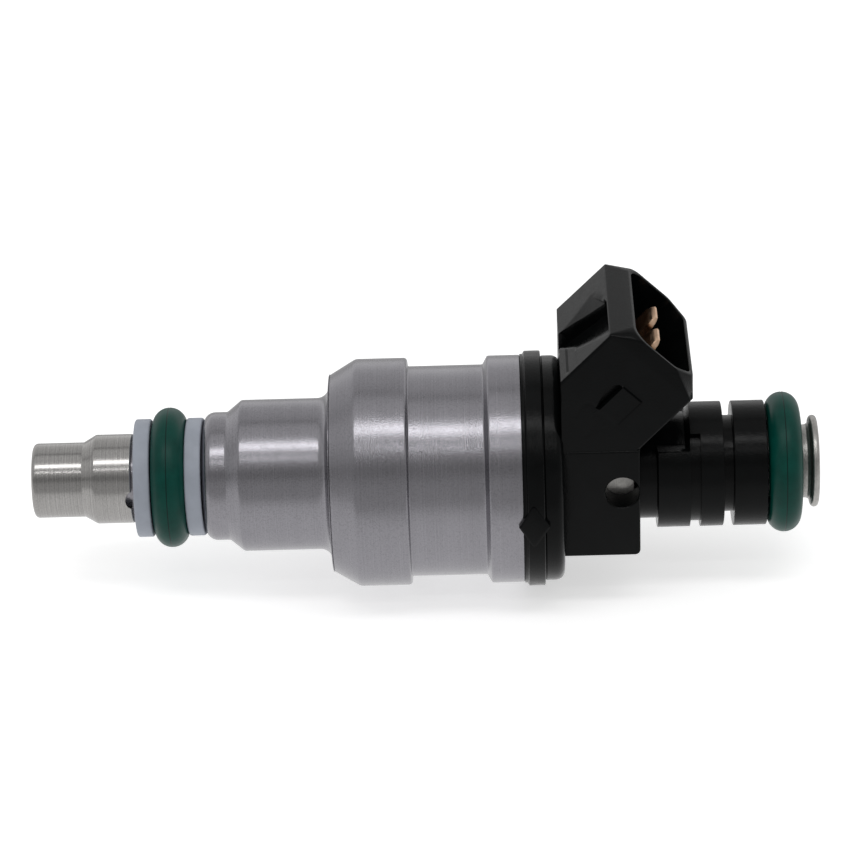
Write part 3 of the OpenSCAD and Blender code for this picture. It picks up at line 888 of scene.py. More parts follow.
@dataclass
class Overmould:
    """Black moulding: ring, dome, block, slanted socket, neck and clip collars, all in one piece."""

    tilt_deg: float = 46.0
    foot_x: float = 45.0
    rear_x: float = 40.95
    base_z: float = 6.3
    split: float = 7.88
    key_y: float = 2.1
    key_foot_a: float = 7.9
    key_slant: float = -0.24
    key_a: float = 14.7
    key_depth: float = 1.55
    facet_slant: float = 0.31
    facet_rise: float = 0.17
    step_y: tuple = (-7.5, 1.0)
    step_a: tuple = (8.6, 9.9)
    step_t: float = 0.2
    pad_c: tuple = (-8.12, -5.4)
    pad_a: tuple = (8.03, 11.56)
    pad_t: float = 0.28
    pocket_w: float = 0.95
    back_c: float = -12.98
    side_c: float = -1.75
    front_c: float = -1.35
    half_w: float = 8.2
    front_half_w: float = 7.2
    wall_a: float = 14.95
    lip_a: float = 16.55
    floor_a: float = 7.6
    back_lean: float = 0.01
    side_lean: float = 0.015
    lip: tuple = (-11.2, -5.3, -2.8, 7.95, 6.3)
    cavity: tuple = (-10.78, -5.4, -3.25, 7.5, 5.9)
    block_half_w: float = 8.35
    block_low: float = -6.0
    block_top: float = 6.42
    block_rear: float = 48.95
    ring_r: float = 12.34
    dome_r: float = 11.8
    neck_r: float = 5.55
    collar_r: float = 6.55
    groove_r: float = 5.05
    cut_z: float = 4.3
    hole_x: float = 47.1
    hole_z: float = 1.5
    flat_x: tuple = (50.85, 54.29)
    slot_x: tuple = (54.3, 55.4)
    slot_depth: float = 0.6
    slot_deg: tuple = (122, 418)
    bore_r: float = 4.57
    grip_x: tuple = (44.58, 48.52)
    grip_r: float = 5.62
    thin_r: float = 3.87
    mark_along: float = -1.65
    mark_up: float = 10.35
    mark_size: tuple = (0.95, 2.1)

    @property
    def sine(self) -> float:
        """Sine of the socket's tilt."""
        return math.sin(math.radians(self.tilt_deg))

    @property
    def cosine(self) -> float:
        """Cosine of the socket's tilt."""
        return math.cos(math.radians(self.tilt_deg))

    def to_frame(self, c: np.ndarray, y: np.ndarray, a: np.ndarray) -> np.ndarray:
        """Points of the socket's own frame, given in the injector's.

        Args:
            c: Place from the socket's back to its front.
            y: Place across, the same in both frames.
            a: Place along the socket, growing out of its mouth.

        Returns:
            Array of points, with X, Y and Z last.
        """
        x = self.foot_x + a * self.cosine + c * self.sine
        return np.stack([x, np.broadcast_to(y, x.shape), a * self.sine - c * self.cosine], -1)

    @staticmethod
    def section(back: float, side: float, front: float, half: float, front_half: float,
                radii: Sequence[float], shares: Sequence[np.ndarray]) -> tuple:
        """Outline across the socket, as arrays of c and y, always with the same number of points.

        It goes round from the back wall's -Y corner: side wall, cut corner, front wall, cut corner, side wall
        and back wall. Corners are arcs, and every stretch between them is dealt out by the given shares.

        Args:
            back: c of the back wall.
            side: c where the side walls end.
            front: c of the front wall.
            half: Half width at the back.
            front_half: Half width at the front.
            radii: Corner radii at the back, the side's end and the front.
            shares: For a side wall, a cut corner, the front wall and the back wall, how far along it each
                point lies, from 0 to 1.

        Returns:
            Arrays of c and y.
        """
        corners = [[back, -half], [side, -half], [front, -front_half],
                   [front, front_half], [side, half], [back, half]]
        arcs = fillet(corners, [*radii, *radii[::-1]], 6).reshape(6, 7, 2)
        wall, cut, nose, rear = shares
        gaps = [wall, cut, nose, 1 - cut[::-1], 1 - wall[::-1], rear]
        starts, ends = arcs[:, -1], np.roll(arcs, -1, 0)[:, 0]
        parts = []
        for arc, start, end, gap in zip(arcs, starts, ends, gaps):
            parts += [arc, start + (end - start) * gap[:, None]]
        loop = np.concatenate(parts)
        return loop[:, 0], loop[:, 1]

    def recess_depth(self, y: np.ndarray, a: np.ndarray) -> np.ndarray:
        """Depth of the keying recess in the back wall: steep at its far side, running out at its near side.

        Beyond the steep side lies a shallow facet, whose width grows towards the mouth.
        """
        near = np.interp(a, [7.85, 9.95, 14.6], [-1.1, -4.1, -7.4])
        slope = np.clip((y - near) / (self.key_y - near), 0, 1)
        depth = self.key_depth * blend01(slope, -0.1, 0.85)
        edge = self.half_w - ((self.half_w - self.far_side(a, self.facet_slant)) * (self.half_w - self.key_y)
                              / (self.half_w - self.far_side(a, self.key_slant)))
        facet = self.facet_rise * np.clip(edge - y, 0, np.maximum(edge - self.key_y, 0))
        steep = blend01(y, self.key_y + 0.14, self.key_y - 0.06)
        return (facet + (depth - facet) * steep) * blend01(a, self.key_a + 0.08, self.key_a - 0.12)

    def far_side(self, a: np.ndarray, slant: float) -> np.ndarray:
        """Line that leaves the recess's far corner with a slant."""
        return self.key_y + (np.clip(a, self.key_foot_a, None) - self.key_foot_a) * slant

    def step_depth(self, y: np.ndarray, a: np.ndarray) -> np.ndarray:
        """Depth of the shallow step at the near rear corner of the back wall."""
        return self.step_t * band(y, *self.step_y, 0.1) * band(a, *self.step_a, 0.2)

    def side_relief(self, c: np.ndarray, a: np.ndarray) -> np.ndarray:
        """Height of the side wall's relief: the latch pad, the pocket beside it and a faint ejector mark."""
        pad = self.pad_t * band(c, *self.pad_c, 0.14) * band(a, *self.pad_a, 0.14)
        depth = np.interp(a, [7.9, 9.2, 11.4], [0.3, 1.0, 1.5])
        across = band(c, self.pad_c[0] - self.pocket_w, self.pad_c[0], 0.1)
        pocket = depth * across * band(a, 7.95, 11.39, 0.08)
        long_way = (a * self.sine - c * self.cosine) - self.mark_up
        short_way = (a * self.cosine + c * self.sine) - self.mark_along
        oval = np.hypot(short_way / self.mark_size[0], long_way / self.mark_size[1])
        mark = 0.03 * np.exp(-(((oval - 1) / 0.09) ** 2))
        return pad - pocket - mark

    def warped(self, c: np.ndarray, y: np.ndarray, a: np.ndarray) -> tuple:
        """Slides grid lines so that they follow the slanted edges of the recess and the pocket.

        A line at key_y moves to the recess's slanting far side, the row at key_a to its sloping end, and the
        line at the pocket's outer edge moves in and out with the pocket's width. Lines between are dealt
        evenly, and the walls' corners stay.
        """
        on_back = c < self.back_c + 0.02
        far = self.far_side(a, self.key_slant)
        low, high = -self.half_w, self.half_w
        near_side = low + (y - low) * (far - low) / (self.key_y - low)
        far_side = high - (high - y) * (high - far) / (high - self.key_y)
        moved_y = np.where(on_back, np.where(y < self.key_y, near_side, far_side), y)
        end = np.interp(moved_y, [-0.4, 3.73], [self.key_a, 12.77])
        end = end + (self.key_a - end) * blend01(moved_y, 4.2, high - 0.8)
        below = 10.0 + (a - 10.0) * (end - 10.0) / (self.key_a - 10.0)
        above = self.wall_a - (self.wall_a - a) * (self.wall_a - end) / (self.wall_a - self.key_a)
        moved_a = np.where(on_back & (a > 10.0), np.where(a < self.key_a, below, above), a)
        width = np.interp(a, [5.5, 7.9, 10.3, 11.26, 11.42, 13.5],
                          [self.pocket_w, 0.12, self.pocket_w, 0.4, 0.15, self.pocket_w])
        edge, start = self.pad_c[0] - self.pocket_w, self.back_c + 0.5
        outer = start + (c - start) * (self.pad_c[0] - width - start) / (edge - start)
        inner = self.pad_c[0] - (self.pad_c[0] - c) * width / self.pocket_w
        beside = (c > start) & (c < self.pad_c[0])
        return np.where(beside, np.where(c < edge, outer, inner), c), moved_y, moved_a

    def foot(self, c: np.ndarray, lean: np.ndarray) -> tuple:
        """Lengths a at which wall lines meet the rear plane and the base plane."""
        base = c - lean * self.wall_a
        rear_a = (self.rear_x - self.foot_x - base * self.sine) / (self.cosine + lean * self.sine)
        return rear_a, (self.base_z + base * self.cosine) / (self.sine - lean * self.cosine)

    def outer_walls(self, c0: np.ndarray, y0: np.ndarray) -> tuple:
        """Outside of the socket's walls, from their foot to just below the bevel.

        Rows lie at fixed lengths above the split, and are dealt evenly between each line's foot and the split
        below it. Relief moves the back wall along c and the side walls along y.

        Args:
            c0: c of each line at the top of the walls.
            y0: y of each line there.

        Returns:
            Grid of points, and which lines end at the rear plane.
        """
        lean = self.back_lean * (self.side_c - c0) / (self.side_c - self.back_c)
        on_back = c0 < self.back_c + 0.02
        on_side = np.abs(np.abs(y0) - self.half_w) < 0.02

        def relief(level: np.ndarray) -> np.ndarray:
            """Depth of the back wall's relief at each line."""
            held = np.maximum(level, 7.6)
            y = np.broadcast_to(y0, held.shape)
            return on_back * np.maximum(self.recess_depth(y, held), self.step_depth(y, held))

        rear_a, base_a = self.foot(c0 + relief(np.full_like(c0, 7.0)), lean)
        foot_a = np.maximum(rear_a, base_a)
        keys = [self.split, 7.98, 8.08, 8.5, 8.7, 9.8, 10.0, 11.34, 11.44, 11.51, 11.61,
                self.key_a - 0.12, self.key_a - 0.02, self.key_a + 0.08, self.wall_a - 0.1]
        upper = spaced(keys, 0.24)
        share = np.linspace(0, 1, 15)[:-1, None]
        level = np.concatenate([foot_a + (self.split - foot_a) * share,
                                np.broadcast_to(upper[:, None], (len(upper), len(c0)))])
        c, y, a = self.warped(np.broadcast_to(c0, level.shape), np.broadcast_to(y0, level.shape), level)
        c = c - lean * (self.wall_a - a) + relief(level)
        y = y * (1 - self.side_lean * np.clip(a - 7.5, 0, None) / self.half_w)
        y = y + np.sign(y0) * on_side * self.side_relief(np.broadcast_to(c0, level.shape), level)
        return self.to_frame(c, y, a), rear_a >= base_a

    def socket(self) -> Skin:
        """Socket as one closed skin: up its outer walls, over the lip, down the cavity and across its floor.

        Both planes at the walls' foot and the cavity's floor are closed by one flat face each.
        """
        pad_low, pad_high = self.pad_c
        pocket = pad_low - self.pocket_w
        wall_c = spaced([self.back_c + 0.5, pocket - 0.05, pocket + 0.05, pad_low - 0.05, pad_low + 0.05,
                         pad_high - 0.05, pad_high + 0.05, self.side_c - 0.12], 0.22)
        wall = (wall_c - self.back_c - 0.45) / (self.side_c - self.back_c - 0.5)
        key = self.key_y
        back_y = spaced([7.7, key + 0.14, key + 0.04, key - 0.06, -7.45, -7.55, -7.7], 0.2)
        back = (self.half_w - 0.45 - back_y) / (2 * self.half_w - 0.9)
        shares = (wall, np.array([0.25, 0.5, 0.75]), np.linspace(0, 1, 26)[1:-1], back)
        c0, y0 = self.section(self.back_c, self.side_c, self.front_c, self.half_w, self.front_half_w,
                              (0.35, 0.3, 0.4), shares)
        outside, rear_lines = self.outer_walls(c0, y0)
        y_top = y0 * (1 - self.side_lean * (self.wall_a - 7.5) / self.half_w)
        lip_c, lip_y = self.section(*self.lip, (1.7, 1.7, 1.0), shares)
        in_c, in_y = self.section(*self.cavity, (1.8, 1.7, 1.0), shares)
        bevel = self.lip_a - self.wall_a
        rows = [self.ring_row(c0, y_top, self.wall_a - 0.06)]
        for share in (0.02, 0.3, 0.65, 0.96):
            rows.append(self.ring_row(c0 + (lip_c - c0) * share, y_top + (lip_y - y_top) * share,
                                      self.wall_a + share * bevel))
        for share, drop in ((0.12, 0.0), (0.75, 0.0), (0.95, 0.06), (1.0, 0.2)):
            rows.append(self.ring_row(lip_c + (in_c - lip_c) * share, lip_y + (in_y - lip_y) * share,
                                      self.lip_a - drop))
        for level in np.linspace(self.lip_a - 1.5, self.floor_a + 0.5, 7):
            rows.append(self.ring_row(in_c, in_y, level))
        centre = in_c.mean()
        for share, rise in ((0.985, 0.15), (0.95, 0.03), (0.9, 0.0)):
            rows.append(self.ring_row(centre + (in_c - centre) * share, in_y * share, self.floor_a + rise))
        grid = np.concatenate([outside, np.array(rows)])
        skin = loft(grid, capped=False)
        base = np.flatnonzero(~rear_lines)
        rear = np.concatenate([np.arange(base[-1] + 1, len(c0)), np.arange(base[0])])
        corner = [[self.rear_x, grid[0, rear[k], 1], self.base_z] for k in (0, -1)]
        first, second = len(skin.points), len(skin.points) + 1
        skin.points = np.concatenate([skin.points, corner])
        caps = [[*rear, second, first], [*base, first, second], [rear[-1], base[0], second],
                [base[-1], rear[0], first]]
        skin.caps = [[int(k) for k in cap][::-1] for cap in caps]
        skin.caps.append(list(range((len(grid) - 1) * len(c0), len(grid) * len(c0))))
        return skin

    def ring_row(self, c: np.ndarray, y: np.ndarray, level: float) -> np.ndarray:
        """One row of the socket at a single length."""
        return self.to_frame(c, y, np.full_like(c, level))

    def block(self) -> Skin:
        """Block under the socket: a rounded rectangle carried along Y, with its end edges rounded.

        Near each end the outline shrinks by edge * (1 - sin t) where its place goes in by edge * (1 - cos t),
        which is a quarter of a circle.
        """
        edge, front = 0.22, self.rear_x - 0.02
        corners = [[front, self.block_low], [self.block_rear, self.block_low],
                   [self.block_rear, self.block_top], [front, self.block_top]]
        outline = fillet(corners, [0.25, 0.55, 0.12, 0.12], 5)
        middle = outline.mean(0)
        turn = np.linspace(0, np.pi / 2, 5)
        shrink, inward = edge * (1 - np.sin(turn)), edge * (1 - np.cos(turn))
        place = np.concatenate([inward - self.block_half_w, (self.block_half_w - inward)[::-1]])
        inset = np.concatenate([shrink, shrink[::-1]])[:, None, None]
        flat = middle + (outline - middle) * (1 - inset / np.abs(outline - middle).max(0))
        y = np.broadcast_to(place[:, None], flat.shape[:2])
        return loft(np.stack([flat[..., 0], y, flat[..., 1]], -1))

    def round_part(self) -> Skin:
        """Ring, dome, neck and both collars, as one solid turning.

        The first collar's top is cut flat: there the radius is held below height / sin a, and never below the
        neck's.
        """
        neck, collar = self.neck_r, self.collar_r
        corners = [[36.92, 12.02], [37.2, 12.02], [37.36, self.ring_r], [38.97, self.ring_r], [39.05, 12.24],
                   [39.05, 11.68], [39.2, self.dome_r], [41.1, self.dome_r], [41.1, neck], [50.9, neck],
                   [50.9, collar], [57.8, collar], [57.8, self.groove_r], [58.85, self.groove_r],
                   [58.85, collar], [62.3, collar], [62.3, 1.0], [36.92, 1.0]]
        radii = [0.02, 0.12, 0.12, 0.1, 0.05, 0.06, 0.15, 1.9, 0.3, 0.12, 0.1, 0.1, 0.06, 0.06, 0.1, 0.12,
                 0.02, 0.02]
        outline = thicken(fillet(corners, radii, 5), 0.6)

        def flats(x: np.ndarray, r: np.ndarray, a: np.ndarray) -> tuple:
            """Cuts the first collar's top."""
            rise = np.maximum(np.sin(a), 1e-3)
            held = np.minimum(r, np.maximum(neck, self.cut_z / rise))
            return x, np.where((x > self.flat_x[0]) & (x < self.flat_x[1]), held, r)

        return lathe(outline, 288, flats)

    def slot(self) -> Skin:
        """Narrow slot round the first collar, left out near the top: a square carried round the axis."""
        steps = 120
        turn = np.radians(np.linspace(*self.slot_deg, steps))[:, None]
        low, high = self.slot_x
        x = np.array([[low, high, high, low]])
        r = np.array([[self.collar_r - self.slot_depth] * 2 + [self.collar_r + 2] * 2])
        rings = np.stack([np.broadcast_to(x, (steps, 4)), -r * np.cos(turn), r * np.sin(turn)], -1)
        return loft(rings)

    def bore(self) -> Skin:
        """Space for the steel inside: pole piece, inlet tube and the collar that grips the plastic."""
        low, high = self.grip_x
        stations = [36.0, low, low, high, high, 52.0, 52.6, 63.0]
        radii = [self.bore_r] * 2 + [self.grip_r] * 2 + [self.bore_r] * 2 + [self.thin_r] * 2
        angle = np.linspace(0, 2 * np.pi, 128, endpoint=False)
        x, r = np.array(stations)[:, None], np.array(radii)[:, None]
        x = x + np.array([0, 0, 0.001, 0, 0.001, 0, 0, 0])[:, None]
        rings = np.stack([np.broadcast_to(x, (8, 128)), r * np.cos(angle), r * np.sin(angle)], -1)
        return loft(rings)

    def side_hole(self, side: int) -> Skin:
        """Hole that the mould's locating pin leaves, with a soft rim and a slight draft."""
        out = np.array([self.block_half_w + 1.0, self.block_half_w + 0.02, self.block_half_w - 0.1, 4.9])
        radii = np.array([2.05, 1.9, 1.77, 1.72])
        angle = np.linspace(0, 2 * np.pi, 72, endpoint=False)
        y = np.broadcast_to(side * out[:, None], (4, 72))
        rings = np.stack([self.hole_x + radii[:, None] * np.cos(angle), y,
                          self.hole_z + radii[:, None] * np.sin(angle)], -1)
        return loft(rings)

    def gate_scar(self) -> Skin:
        """Diamond left by the mould's gate on the ring, flat on top and with bevelled edges."""
        tips = np.array([[36.35, 0.0], [37.9, -2.5], [39.6, 0.0], [37.9, 2.5]])
        outline = fillet(tips, [0.1, 0.25, 0.1, 0.25], 4)
        middle = np.array([37.9, 0.0])
        foot = np.interp(outline[:, 0], [36.9, 37.1], [11.98, 11.5])
        rows = []
        for depth, scale in ((foot, 1.0), (12.3, 1.0), (12.42, 0.86)):
            place = middle + (outline - middle) * scale
            rows.append(np.stack([place[:, 0], np.broadcast_to(-np.asarray(depth), len(outline)),
                                  place[:, 1]], -1))
        return loft(np.array(rows))

    def mesh(self, terminals: "Terminals") -> bpy.types.Mesh:
        """Joins the solids, then cuts the bore, the side holes and the terminals' slots.

        Args:
            terminals: The two terminals, whose shapes the plastic grips.

        Returns:
            The finished mesh.
        """
        work = Booleans("overmold", self.socket()).join(self.block()).join(self.round_part())
        work.join(self.gate_scar()).cut(self.bore()).cut(self.slot())
        for side in (-1, 1):
            work.cut(self.side_hole(side)).cut(terminals.blade(side, 0.02))
        return work.result(30.0)

    def build(self, shop: Workshop, terminals: "Terminals") -> None:
        """Builds the moulding and both terminals."""
        shop.add(self.mesh(terminals), Slot.NYLON, ["overmold"])
        for side, name in ((-1, "terminal_left"), (1, "terminal_right")):
            shop.add(terminals.blade(side, 0.0).mesh(name, 28), Slot.TERMINAL, [name])


@dataclass
class Terminals:
    """Two bronze blades, bent from the coil's connection up into the socket."""

    mould: Overmould
    pitch: float = 4.9
    foot_half_w: float = 1.0
    blade_half_w: float = 1.8
    thickness: float = 0.7
    blade_c: float = -7.2
    tip_a: float = 16.3
    foot_x: float = 36.9
    foot_z: float = 7.5
    bend_r: float = 0.8
    taper: float = 0.95
    chisel: float = 0.4

    def blade(self, side: int, room: float) -> Skin:
        """One terminal: a rounded strip carried along its bent middle line.

        The middle line runs straight, turns by the socket's tilt round an arc, and runs straight to the tip.
        The section is a rectangle with cut corners. Its half width grows from foot to blade and draws in over
        the tip's taper, and its thickness draws in most over the chisel at the very end.

        Args:
            side: -1 for the -Y terminal, 1 for the other.
            room: Extra size all round, for the slot in the plastic.

        Returns:
            The skin, with the attribute "coined" rising to 1 on its tip.
        """
        tilt = math.radians(self.mould.tilt_deg)
        bend_a = (self.foot_z + self.blade_c * self.mould.cosine) / self.mould.sine
        bend_x = self.mould.foot_x + bend_a * self.mould.cosine + self.blade_c * self.mould.sine
        reach = self.bend_r * math.tan(tilt / 2)
        turn = np.linspace(0, tilt, 8)
        bend = np.stack([bend_x - reach + self.bend_r * np.sin(turn),
                         self.foot_z + self.bend_r * (1 - np.cos(turn))], -1)
        end = self.tip_a - bend_a
        runs = np.concatenate([np.linspace(reach + 0.1, end - 2.4, 12), np.linspace(end - 2.1, end, 15)])
        blade = np.stack([bend_x + runs * math.cos(tilt), self.foot_z + runs * math.sin(tilt)], -1)
        foot = [[self.foot_x - room, self.foot_z], [(self.foot_x + bend_x) / 2, self.foot_z]]
        path = np.concatenate([foot, bend, blade])
        along = np.concatenate([np.full(10, -1.0), runs])
        lean = np.concatenate([[0.0, 0.0], turn, np.full(len(runs), tilt)])
        grow = blend01(along, 0.2, 1.4)
        tip = np.clip((along - (end - self.taper)) / self.taper, 0, 1)
        edge = np.clip((along - (end - self.chisel)) / self.chisel, 0, 1)
        half_w = self.foot_half_w + grow * (self.blade_half_w - self.foot_half_w) - 0.6 * tip + room
        half_t = self.thickness / 2 * (1 - 0.12 * blend01(tip, 0.0, 0.2) - 0.5 * edge) + room
        half_w, half_t = half_w[:, None], half_t[:, None]
        cut = 0.1
        top = np.array([-1, -1 + cut, -0.33, 0.33, 1 - cut, 1])
        rise = np.array([1 - 3 * cut, 1, 1, 1, 1, 1 - 3 * cut])
        u = np.concatenate([top, top[::-1]])[None, :]
        v = np.concatenate([rise, -rise[::-1]])[None, :]
        across, thick = u * half_w, v * half_t
        x = path[:, :1] - thick * np.sin(lean)[:, None]
        z = path[:, 1:] + thick * np.cos(lean)[:, None]
        y = side * self.pitch / 2 + across
        skin = loft(np.stack([x, y, z], -1))
        skin.marks["coined"] = np.repeat(blend01(tip, 0.05, 0.3), u.shape[1])
        return skin


@dataclass
class Inlet:
    """Inlet tube with its rolled flange, the filter inside it and the rail ring."""

    ring_x: float = 64.2
    face: float = 67.8
    flange_r: float = 4.82
    flange_t: float = 0.8
    bore_r: float = 3.05
    tube_r: float = 3.8

    def tube(self) -> bpy.types.Mesh:
        """Tube in one turning: gripping collar, step, ring seat and the rolled flange."""
        corners = [[44.02, self.bore_r], [self.face - 0.75, self.bore_r], [self.face - 0.12, 3.68],
                   [self.face, 3.9], [self.face, self.flange_r], [self.face - self.flange_t, self.flange_r],
                   [self.face - 0.84, 4.05], [66.6, 3.86], [66.1, self.tube_r], [62.5, self.tube_r],
                   [62.3, 3.85], [52.6, 3.85], [52.0, 4.55], [48.5, 4.55], [48.5, 5.6], [44.6, 5.6],
                   [44.6, 4.55], [44.02, 4.55]]
        radii = [0.02, 0.3, 0.1, 0.08, 0.39, 0.38, 0.2, 0.3, 0.2, 0.2, 0.2, 0.2, 0.2, 0.1, 0.15, 0.15,
                 0.1, 0.02]
        return lathe(thicken(fillet(corners, radii, 6), 0.8), 256).mesh("inlet_tube", 35)

    def build(self, shop: Workshop, nozzle: Nozzle) -> None:
        """Builds tube and ring, and dresses the filter."""
        shop.add(self.tube(), Slot.INLET, ["inlet_tube"])
        shop.add(nozzle.ring("rail_o_ring", self.ring_x), Slot.GREEN, ["rail_o_ring"])
        shop.dress("inlet_filter_frame", Slot.FILTER)
        shop.dress("inlet_filter_mesh", Slot.CLOTH)


@dataclass
class Magnet:
    """Coil, its iron path, the spring and the moving needle with its armature."""

    spring_start: float = 18.22
    spring_end: float = 28.78
    spring_fixed: float = 28.98
    spring_turns: float = 8.0
    spring_mid_r: float = 1.2
    wire_r: float = 0.2
    lift: float = 0.12
    winding_x: tuple = (21.32, 34.18)
    winding_r: tuple = (5.32, 9.3)
    winding_turns: int = 26

    def spring(self) -> bpy.types.Mesh:
        """Return spring with closed-up ends."""
        return coil(self.spring_start, self.spring_end, self.spring_turns, self.spring_mid_r,
                    self.wire_r).mesh("return_spring", 50)

    def winding(self) -> bpy.types.Mesh:
        """Winding whose outside shows each turn: its radius dips between one wire and the next."""
        low, high = self.winding_x
        pitch = (high - low) / self.winding_turns
        t = np.linspace(0, self.winding_turns, self.winding_turns * 6 + 1)
        crown = np.sqrt(np.clip(1 - (2 * (t % 1) - 1) ** 2, 0, 1)) * pitch / 2
        outer = np.stack([low + t * pitch, self.winding_r[1] - pitch / 2 + crown], -1)
        inner = np.array([[high, self.winding_r[0]], [low, self.winding_r[0]]])
        return lathe(np.concatenate([outer, inner]), 96).mesh("coil_winding", 60)

    def build(self, shop: Workshop) -> None:
        """Builds spring and winding, and dresses the rest."""
        spring = shop.add(self.spring(), Slot.SPRING, ["return_spring"])
        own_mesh(spring)
        shop.add(self.winding(), Slot.WIRE, ["coil_winding"])
        for node, slot in (("needle", Slot.HARD), ("armature", Slot.IRON), ("pole_piece", Slot.IRON),
                           ("adjusting_tube", Slot.SPRING), ("nonmagnetic_sleeve", Slot.HARD),
                           ("coil_bobbin", Slot.BOBBIN), ("flux_washer", Slot.IRON),
                           ("lower_coil_seal", Slot.DARK_RUBBER), ("upper_coil_seal", Slot.DARK_RUBBER)):
            shop.dress(node, slot)


# ---------------------------------------------------------------- studio


@dataclass
class Studio:
    """Pale floor, soft light and the camera.

    Attributes:
        elevation_deg: Height of the camera above the horizon.
        swing_deg: Turn of the camera round the object.
        roll_deg: Roll of the camera.
        distance: From the aim point, in millimetres.
        aim: Where the view's centre lies, right and up of the origin, in millimetres.
        lens: Focal length in millimetres on a 36 mm wide sensor.
        floor_size: Side of the floor, in metres.
        floor_glow: Strength of the floor's white for the camera.
        floor_bounce: Strength of the floor's painted glow as the object sees it, under it and far off.
        bounce_reach: Distance over which one turns into the other, in metres.
        lamp_aim: Point that every light turns to, in metres.
        lamps: Name, elevation, size, power and turn of each light, as lamp() takes them.
        panels: Angle over the top and brightness of each soft panel round the object.
    """

    elevation_deg: float = 29.0
    swing_deg: float = -1.0
    roll_deg: float = 1.5
    distance: float = 410.5
    aim: tuple = (26.68, 5.5)
    lens: float = 165.2
    floor_size: float = 6.0
    floor_glow: float = 0.55
    floor_bounce: tuple = (0.85, 0.45)
    bounce_reach: float = 0.12
    lamp_aim: tuple = (0.027, 0, 0)
    lamps: tuple = (("strip_high", 73.0, (0.6, 0.1), 0.62, 0.0), ("strip_low", 54.0, (0.6, 0.04), 0.38, 0.0),
                    ("mouth_fill", 42.0, (0.22, 0.22), 0.5, 70.0))
    panels: tuple = ((0, 0.46), (20, 0.42), (27, 0.26), (36, 0.26), (44, 0.45), (60, 0.5), (80, 0.62),
                     (105, 0.66), (113, 0.6), (115, 0.25), (118, 0.25), (120, 0.55), (150, 0.65),
                     (172, 0.85), (180, 0.85))

    def axes(self) -> tuple:
        """Right, up and viewing directions of the camera, as unit vectors."""
        e, p, b = (math.radians(v) for v in (self.elevation_deg, self.swing_deg, self.roll_deg))
        level, into = np.array([1.0, 0, 0]), np.array([0, math.cos(e), -math.sin(e)])
        lift = np.array([0, math.sin(e), math.cos(e)])
        side = math.cos(p) * level - math.sin(p) * into
        depth = math.sin(p) * level + math.cos(p) * into
        return math.cos(b) * side - math.sin(b) * lift, math.sin(b) * side + math.cos(b) * lift, depth

    def camera(self) -> None:
        """Makes the camera at the viewing angle."""
        right, up, depth = self.axes()
        data = bpy.data.cameras.new("camera")
        data.lens, data.sensor_width = self.lens, 36.0
        data.clip_start, data.clip_end = 0.01, 20.0
        camera = bpy.data.objects.new("camera", data)
        bpy.context.scene.collection.objects.link(camera)
        place = (self.aim[0] * right + self.aim[1] * up - self.distance * depth) * MM
        turn = Matrix([[*v] for v in np.stack([right, up, -depth], -1)]).to_4x4()
        camera.matrix_world = Matrix.Translation(place) @ turn
        bpy.context.scene.camera = camera

    def floor(self) -> None:
        """Plain pale floor just under the object.

        The camera sees it white. To the object it is a painted glow, brighter close by, that stands in for
        light bounced off the floor, so that black and bright faces keep their contrast.
        """
        half, low = self.floor_size / 2, CAD_BOX[0][2] - 0.00002
        mesh = bpy.data.meshes.new("floor")
        mesh.from_pydata([(-half, -half, low), (half, -half, low), (half, half, low), (-half, half, low)],
                         [], [(0, 1, 2, 3)])
        floor = bpy.data.objects.new("floor", mesh)
        bpy.context.scene.collection.objects.link(floor)
        paint = bpy.data.materials.new("floor_white")
        paint.use_nodes = True
        tree = paint.node_tree
        shader = tree.nodes["Principled BSDF"]
        shader.inputs["Base Color"].default_value = (0.9, 0.9, 0.9, 1)
        shader.inputs["Roughness"].default_value = 0.9
        shader.inputs["Specular IOR Level"].default_value = 0.0
        shader.inputs["Emission Color"].default_value = (1, 1, 1, 1)
        shader.inputs["Emission Strength"].default_value = self.floor_glow
        # Painted glow: to every ray but the camera's the floor is an emission, brighter close to the object,
        # in place of a lit grey floor.
        glow = tree.nodes.new("ShaderNodeEmission")
        place = tree.nodes.new("ShaderNodeTexCoord")
        split = tree.nodes.new("ShaderNodeSeparateXYZ")
        ramp = tree.nodes.new("ShaderNodeMapRange")
        ramp.interpolation_type = "SMOOTHSTEP"
        size = tree.nodes.new("ShaderNodeMath")
        size.operation = "ABSOLUTE"
        for socket, value in zip(list(ramp.inputs)[1:5], (0.0, self.bounce_reach, *self.floor_bounce)):
            socket.default_value = value
        ray, mix = tree.nodes.new("ShaderNodeLightPath"), tree.nodes.new("ShaderNodeMixShader")
        tree.links.new(place.outputs["Object"], split.inputs[0])
        tree.links.new(split.outputs["Y"], size.inputs[0])
        tree.links.new(size.outputs[0], ramp.inputs[0])
        tree.links.new(ramp.outputs[0], glow.inputs["Strength"])
        tree.links.new(ray.outputs["Is Camera Ray"], mix.inputs[0])
        tree.links.new(glow.outputs[0], mix.inputs[1])
        tree.links.new(shader.outputs[0], mix.inputs[2])
        tree.links.new(mix.outputs[0], tree.nodes["Material Output"].inputs["Surface"])
        mesh.materials.append(paint)

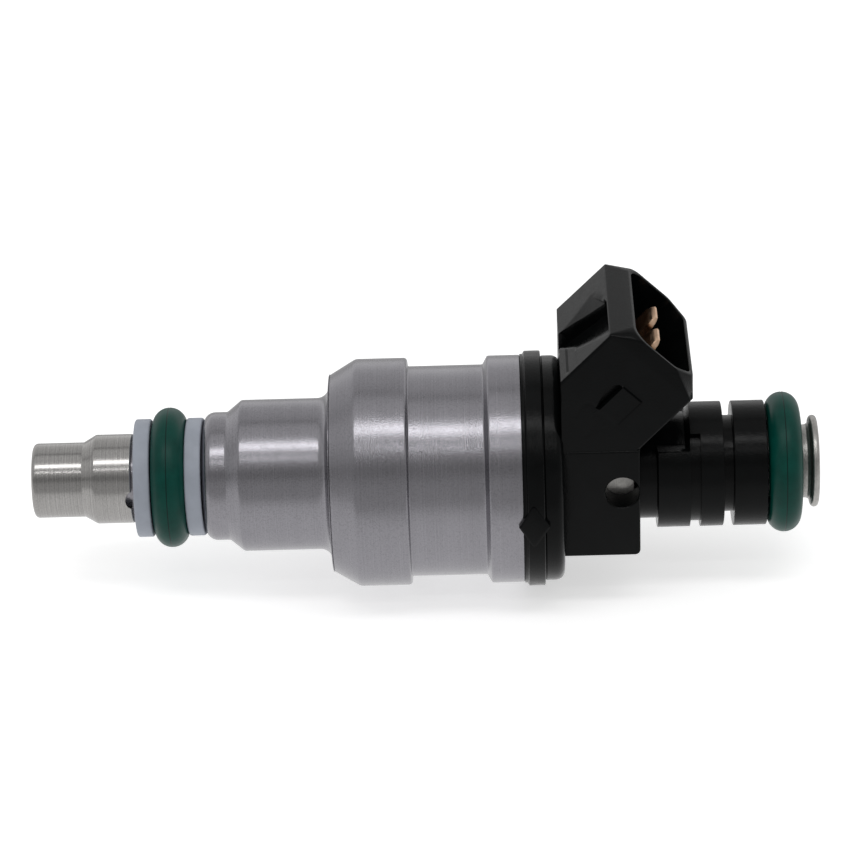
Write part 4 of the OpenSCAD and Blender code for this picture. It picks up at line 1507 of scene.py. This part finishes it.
    def lamp(self, name: str, height_deg: float, size: tuple, power: float, turn_deg: float,
             distance: float = 0.5) -> None:
        """Area light facing the object, long way level.

        Args:
            name: Name of the light.
            height_deg: Its elevation, counted over the top from the -Y side.
            size: Length along X and width, in metres.
            power: Watts.
            turn_deg: Turn about the vertical, from the -Y side towards +X.
            distance: From the object, in metres.
        """
        data = bpy.data.lights.new(name, "AREA")
        data.shape, data.size, data.size_y, data.energy = "RECTANGLE", size[0], size[1], power
        light = bpy.data.objects.new(name, data)
        bpy.context.scene.collection.objects.link(light)
        e = math.radians(height_deg)
        place = Matrix.Translation(self.lamp_aim) @ Matrix.Rotation(math.radians(turn_deg), 4, "Z")
        place = place @ Matrix.Translation((0, -distance * math.cos(e), distance * math.sin(e)))
        light.matrix_world = place @ Matrix.Rotation(math.pi / 2 - e, 4, "X").inverted()

    def surround(self) -> None:
        """White surround of soft panels, dark behind the camera and at the narrow gap past the top.

        The brightness depends on the angle over the top, counted from the -Y horizon.
        """
        world = bpy.data.worlds.new("surround")
        world.use_nodes = True
        tree = world.node_tree
        back = tree.nodes["Background"]
        place, split = tree.nodes.new("ShaderNodeTexCoord"), tree.nodes.new("ShaderNodeSeparateXYZ")
        swing, back_y, share = (tree.nodes.new("ShaderNodeMath") for _ in range(3))
        back_y.operation, back_y.inputs[1].default_value = "MULTIPLY", -1.0
        swing.operation = "ARCTAN2"
        share.operation, share.inputs[1].default_value = "DIVIDE", math.pi
        ramp = tree.nodes.new("ShaderNodeValToRGB")
        stops = ramp.color_ramp.elements
        stops.remove(stops[1])
        for k, (angle, value) in enumerate(self.panels):
            stop = stops[0] if k == 0 else stops.new(angle / 180)
            stop.position, stop.color = angle / 180, (value, value, value, 1)
        tree.links.new(place.outputs["Generated"], split.inputs[0])
        tree.links.new(split.outputs["Y"], back_y.inputs[0])
        tree.links.new(split.outputs["Z"], swing.inputs[0])
        tree.links.new(back_y.outputs[0], swing.inputs[1])
        tree.links.new(swing.outputs[0], share.inputs[0])
        tree.links.new(share.outputs[0], ramp.inputs[0])
        tree.links.new(ramp.outputs[0], back.inputs["Color"])
        bpy.context.scene.world = world

    def build(self) -> None:
        """Builds the studio."""
        bpy.context.scene.view_settings.view_transform = "Standard"
        self.floor()
        self.surround()
        for lamp in self.lamps:
            self.lamp(*lamp)
        self.camera()


def main() -> None:
    """Builds the injector from tip to inlet, then the studio, and logs how many pieces were built."""
    shop = Workshop()
    nozzle, mould = Nozzle(), Overmould()
    nozzle.build(shop)
    SteelBody().build(shop)
    Magnet().build(shop)
    mould.build(shop, Terminals(mould))
    Inlet().build(shop, nozzle)
    Studio().build()
    LOG.info("%d pieces built", len(shop.pieces))


if __name__ == "__main__":
    main()
